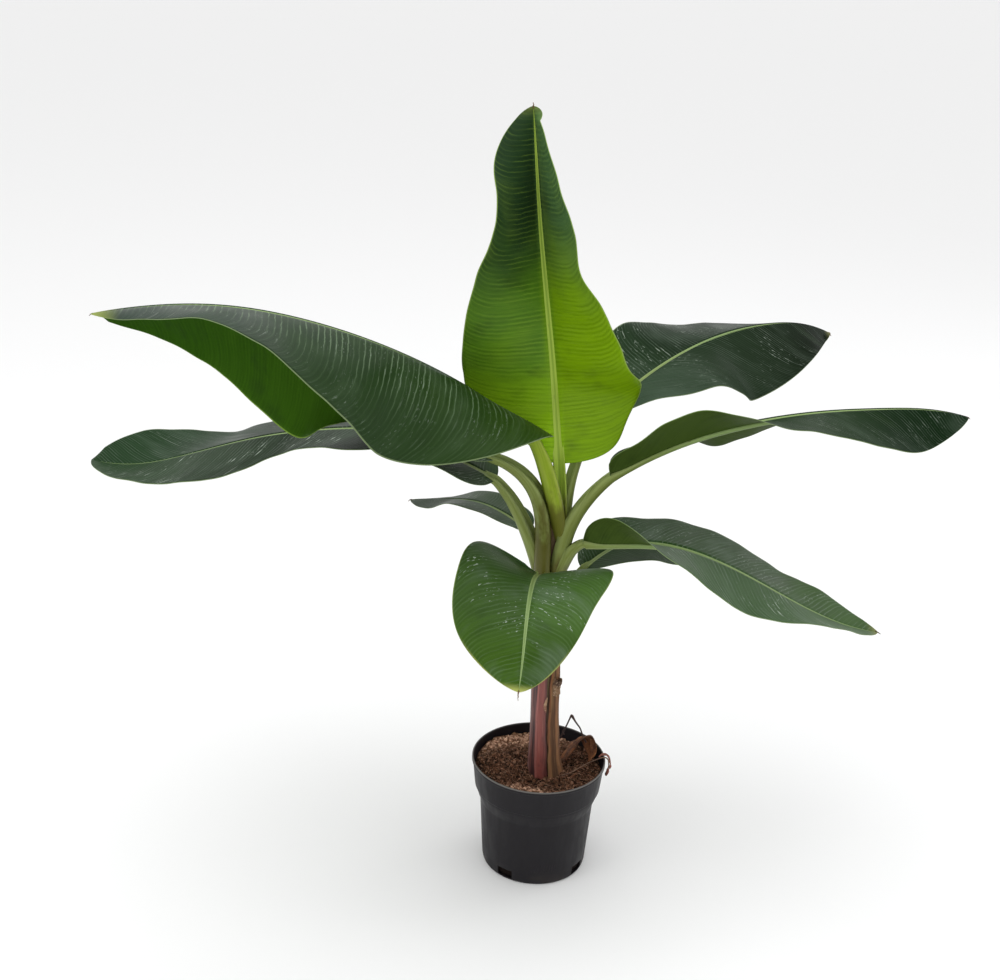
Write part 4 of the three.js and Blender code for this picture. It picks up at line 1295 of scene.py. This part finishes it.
def pot_spot(across, along):
    radius, z = wall_line[round(along * (len(wall_line) - 1))]
    turn = 2 * math.pi * across
    return Vector((radius * math.cos(turn), radius * math.sin(turn), z))


def opened(shape, middle):
    """Takes both walls out at one slot and bridges the two holes."""
    gone = []
    for face in shape.faces:
        x, y, z = face.calc_center_median() / MM
        off = (math.degrees(math.atan2(y, x)) - middle + 180) % 360 - 180
        beside = abs(off) < SLOTS["half"] and math.hypot(x, y) > SLOTS["inner"]
        if beside and SLOTS["low"] < z < SLOTS["high"]:
            gone.append(face)
    bmesh.ops.delete(shape, geom=gone, context="FACES")
    bmesh.ops.bridge_loops(shape, edges=[e for e in shape.edges if e.is_boundary])


pot_shape = closed(laid(POT_COLUMNS, len(wall_line) - 1, pot_spot))
for k in range(SLOTS["count"]):
    opened(pot_shape, SLOTS["first"] + k * 360 / SLOTS["count"])
bmesh.ops.recalc_face_normals(pot_shape, faces=pot_shape.faces)


print("pot walls", len(pot_shape.faces), "faces with", SLOTS["count"], "slots")

# %% [markdown]
# ### Black plastic
#
# Moulded plastic isn't pure black: it has a soft gloss, pale scuffs, a thin pale grey line along
# the top of its rim and a little dust near the floor. Relief from bump is enough for the fine ribs
# low on the wall, because they stand up by less than half a millimetre and never show in the outline.

# %% Pot finish
RIBS = {"from_slot": 42, "per_turn": 120.0, "low": 0.025, "high": 0.037, "blur": 0.001}
PLASTIC = (0.0055, 0.0042, 0.0062)
SCUFFED = (0.011, 0.0095, 0.011)
PALE_RIM_LINE = (0.15, 0.14, 0.13)
DUST = (0.045, 0.036, 0.028)


def pot_skin():
    f = Finish("black_plastic", 0.5, 0.25)
    spot = f.spot()
    x, y, z = (f.part(spot, k) for k in range(3))
    turn = f.maths("ARCTAN2", y, x)
    lag = math.radians(SLOTS["count"] * (SLOTS["first"] + RIBS["from_slot"]))
    group = f.maths("COSINE", f.minus(f.times(turn, float(SLOTS["count"])), lag))
    rows = f.times(f.step(z, RIBS["low"] - RIBS["blur"], RIBS["low"] + RIBS["blur"]),
                   f.step(z, RIBS["high"] + RIBS["blur"], RIBS["high"] - RIBS["blur"]))
    combed = f.times(f.maths("SINE", f.times(turn, RIBS["per_turn"])),
                     f.times(rows, f.step(group, 0.45, 0.60)))
    scuffs = f.cloud(f.spot((1, 1, 0.25)), 60.0, 4.0, 0.65)
    tone = f.blend(f.step(scuffs, 0.50, 0.75, 0.0, 0.5), PLASTIC, SCUFFED)
    reach = f.maths("SQRT", f.plus(f.times(x, x), f.times(y, y)))
    # lip is a thin pale grey line along the outer top edge of the rim.
    lip = f.times(f.step(z, 0.1818, 0.1832), f.step(reach, 0.1030, 0.1038, 0.3, 0.9))
    dust = f.times(f.step(f.cloud(spot, 30.0, 3.0), 0.45, 0.7), f.step(z, 0.03, 0.0, 0.0, 0.5))
    f.colour(f.blend(dust, f.blend(lip, tone, PALE_RIM_LINE), DUST))
    f.relief(f.plus(combed, f.times(scuffs, 0.15)), 0.0005, 0.6)
    f.roughness(f.step(scuffs, 0.3, 0.7, 0.42, 0.60))
    return f.material


pot = piece("nursery_pot", pot_shape, [pot_skin()], "pot_plastic", "pot")
rounding = pot.modifiers.new("edges", "BEVEL")
rounding.width = 0.3 * MM
rounding.segments = 2
rounding.limit_method = "ANGLE"
rounding.angle_limit = math.radians(50)
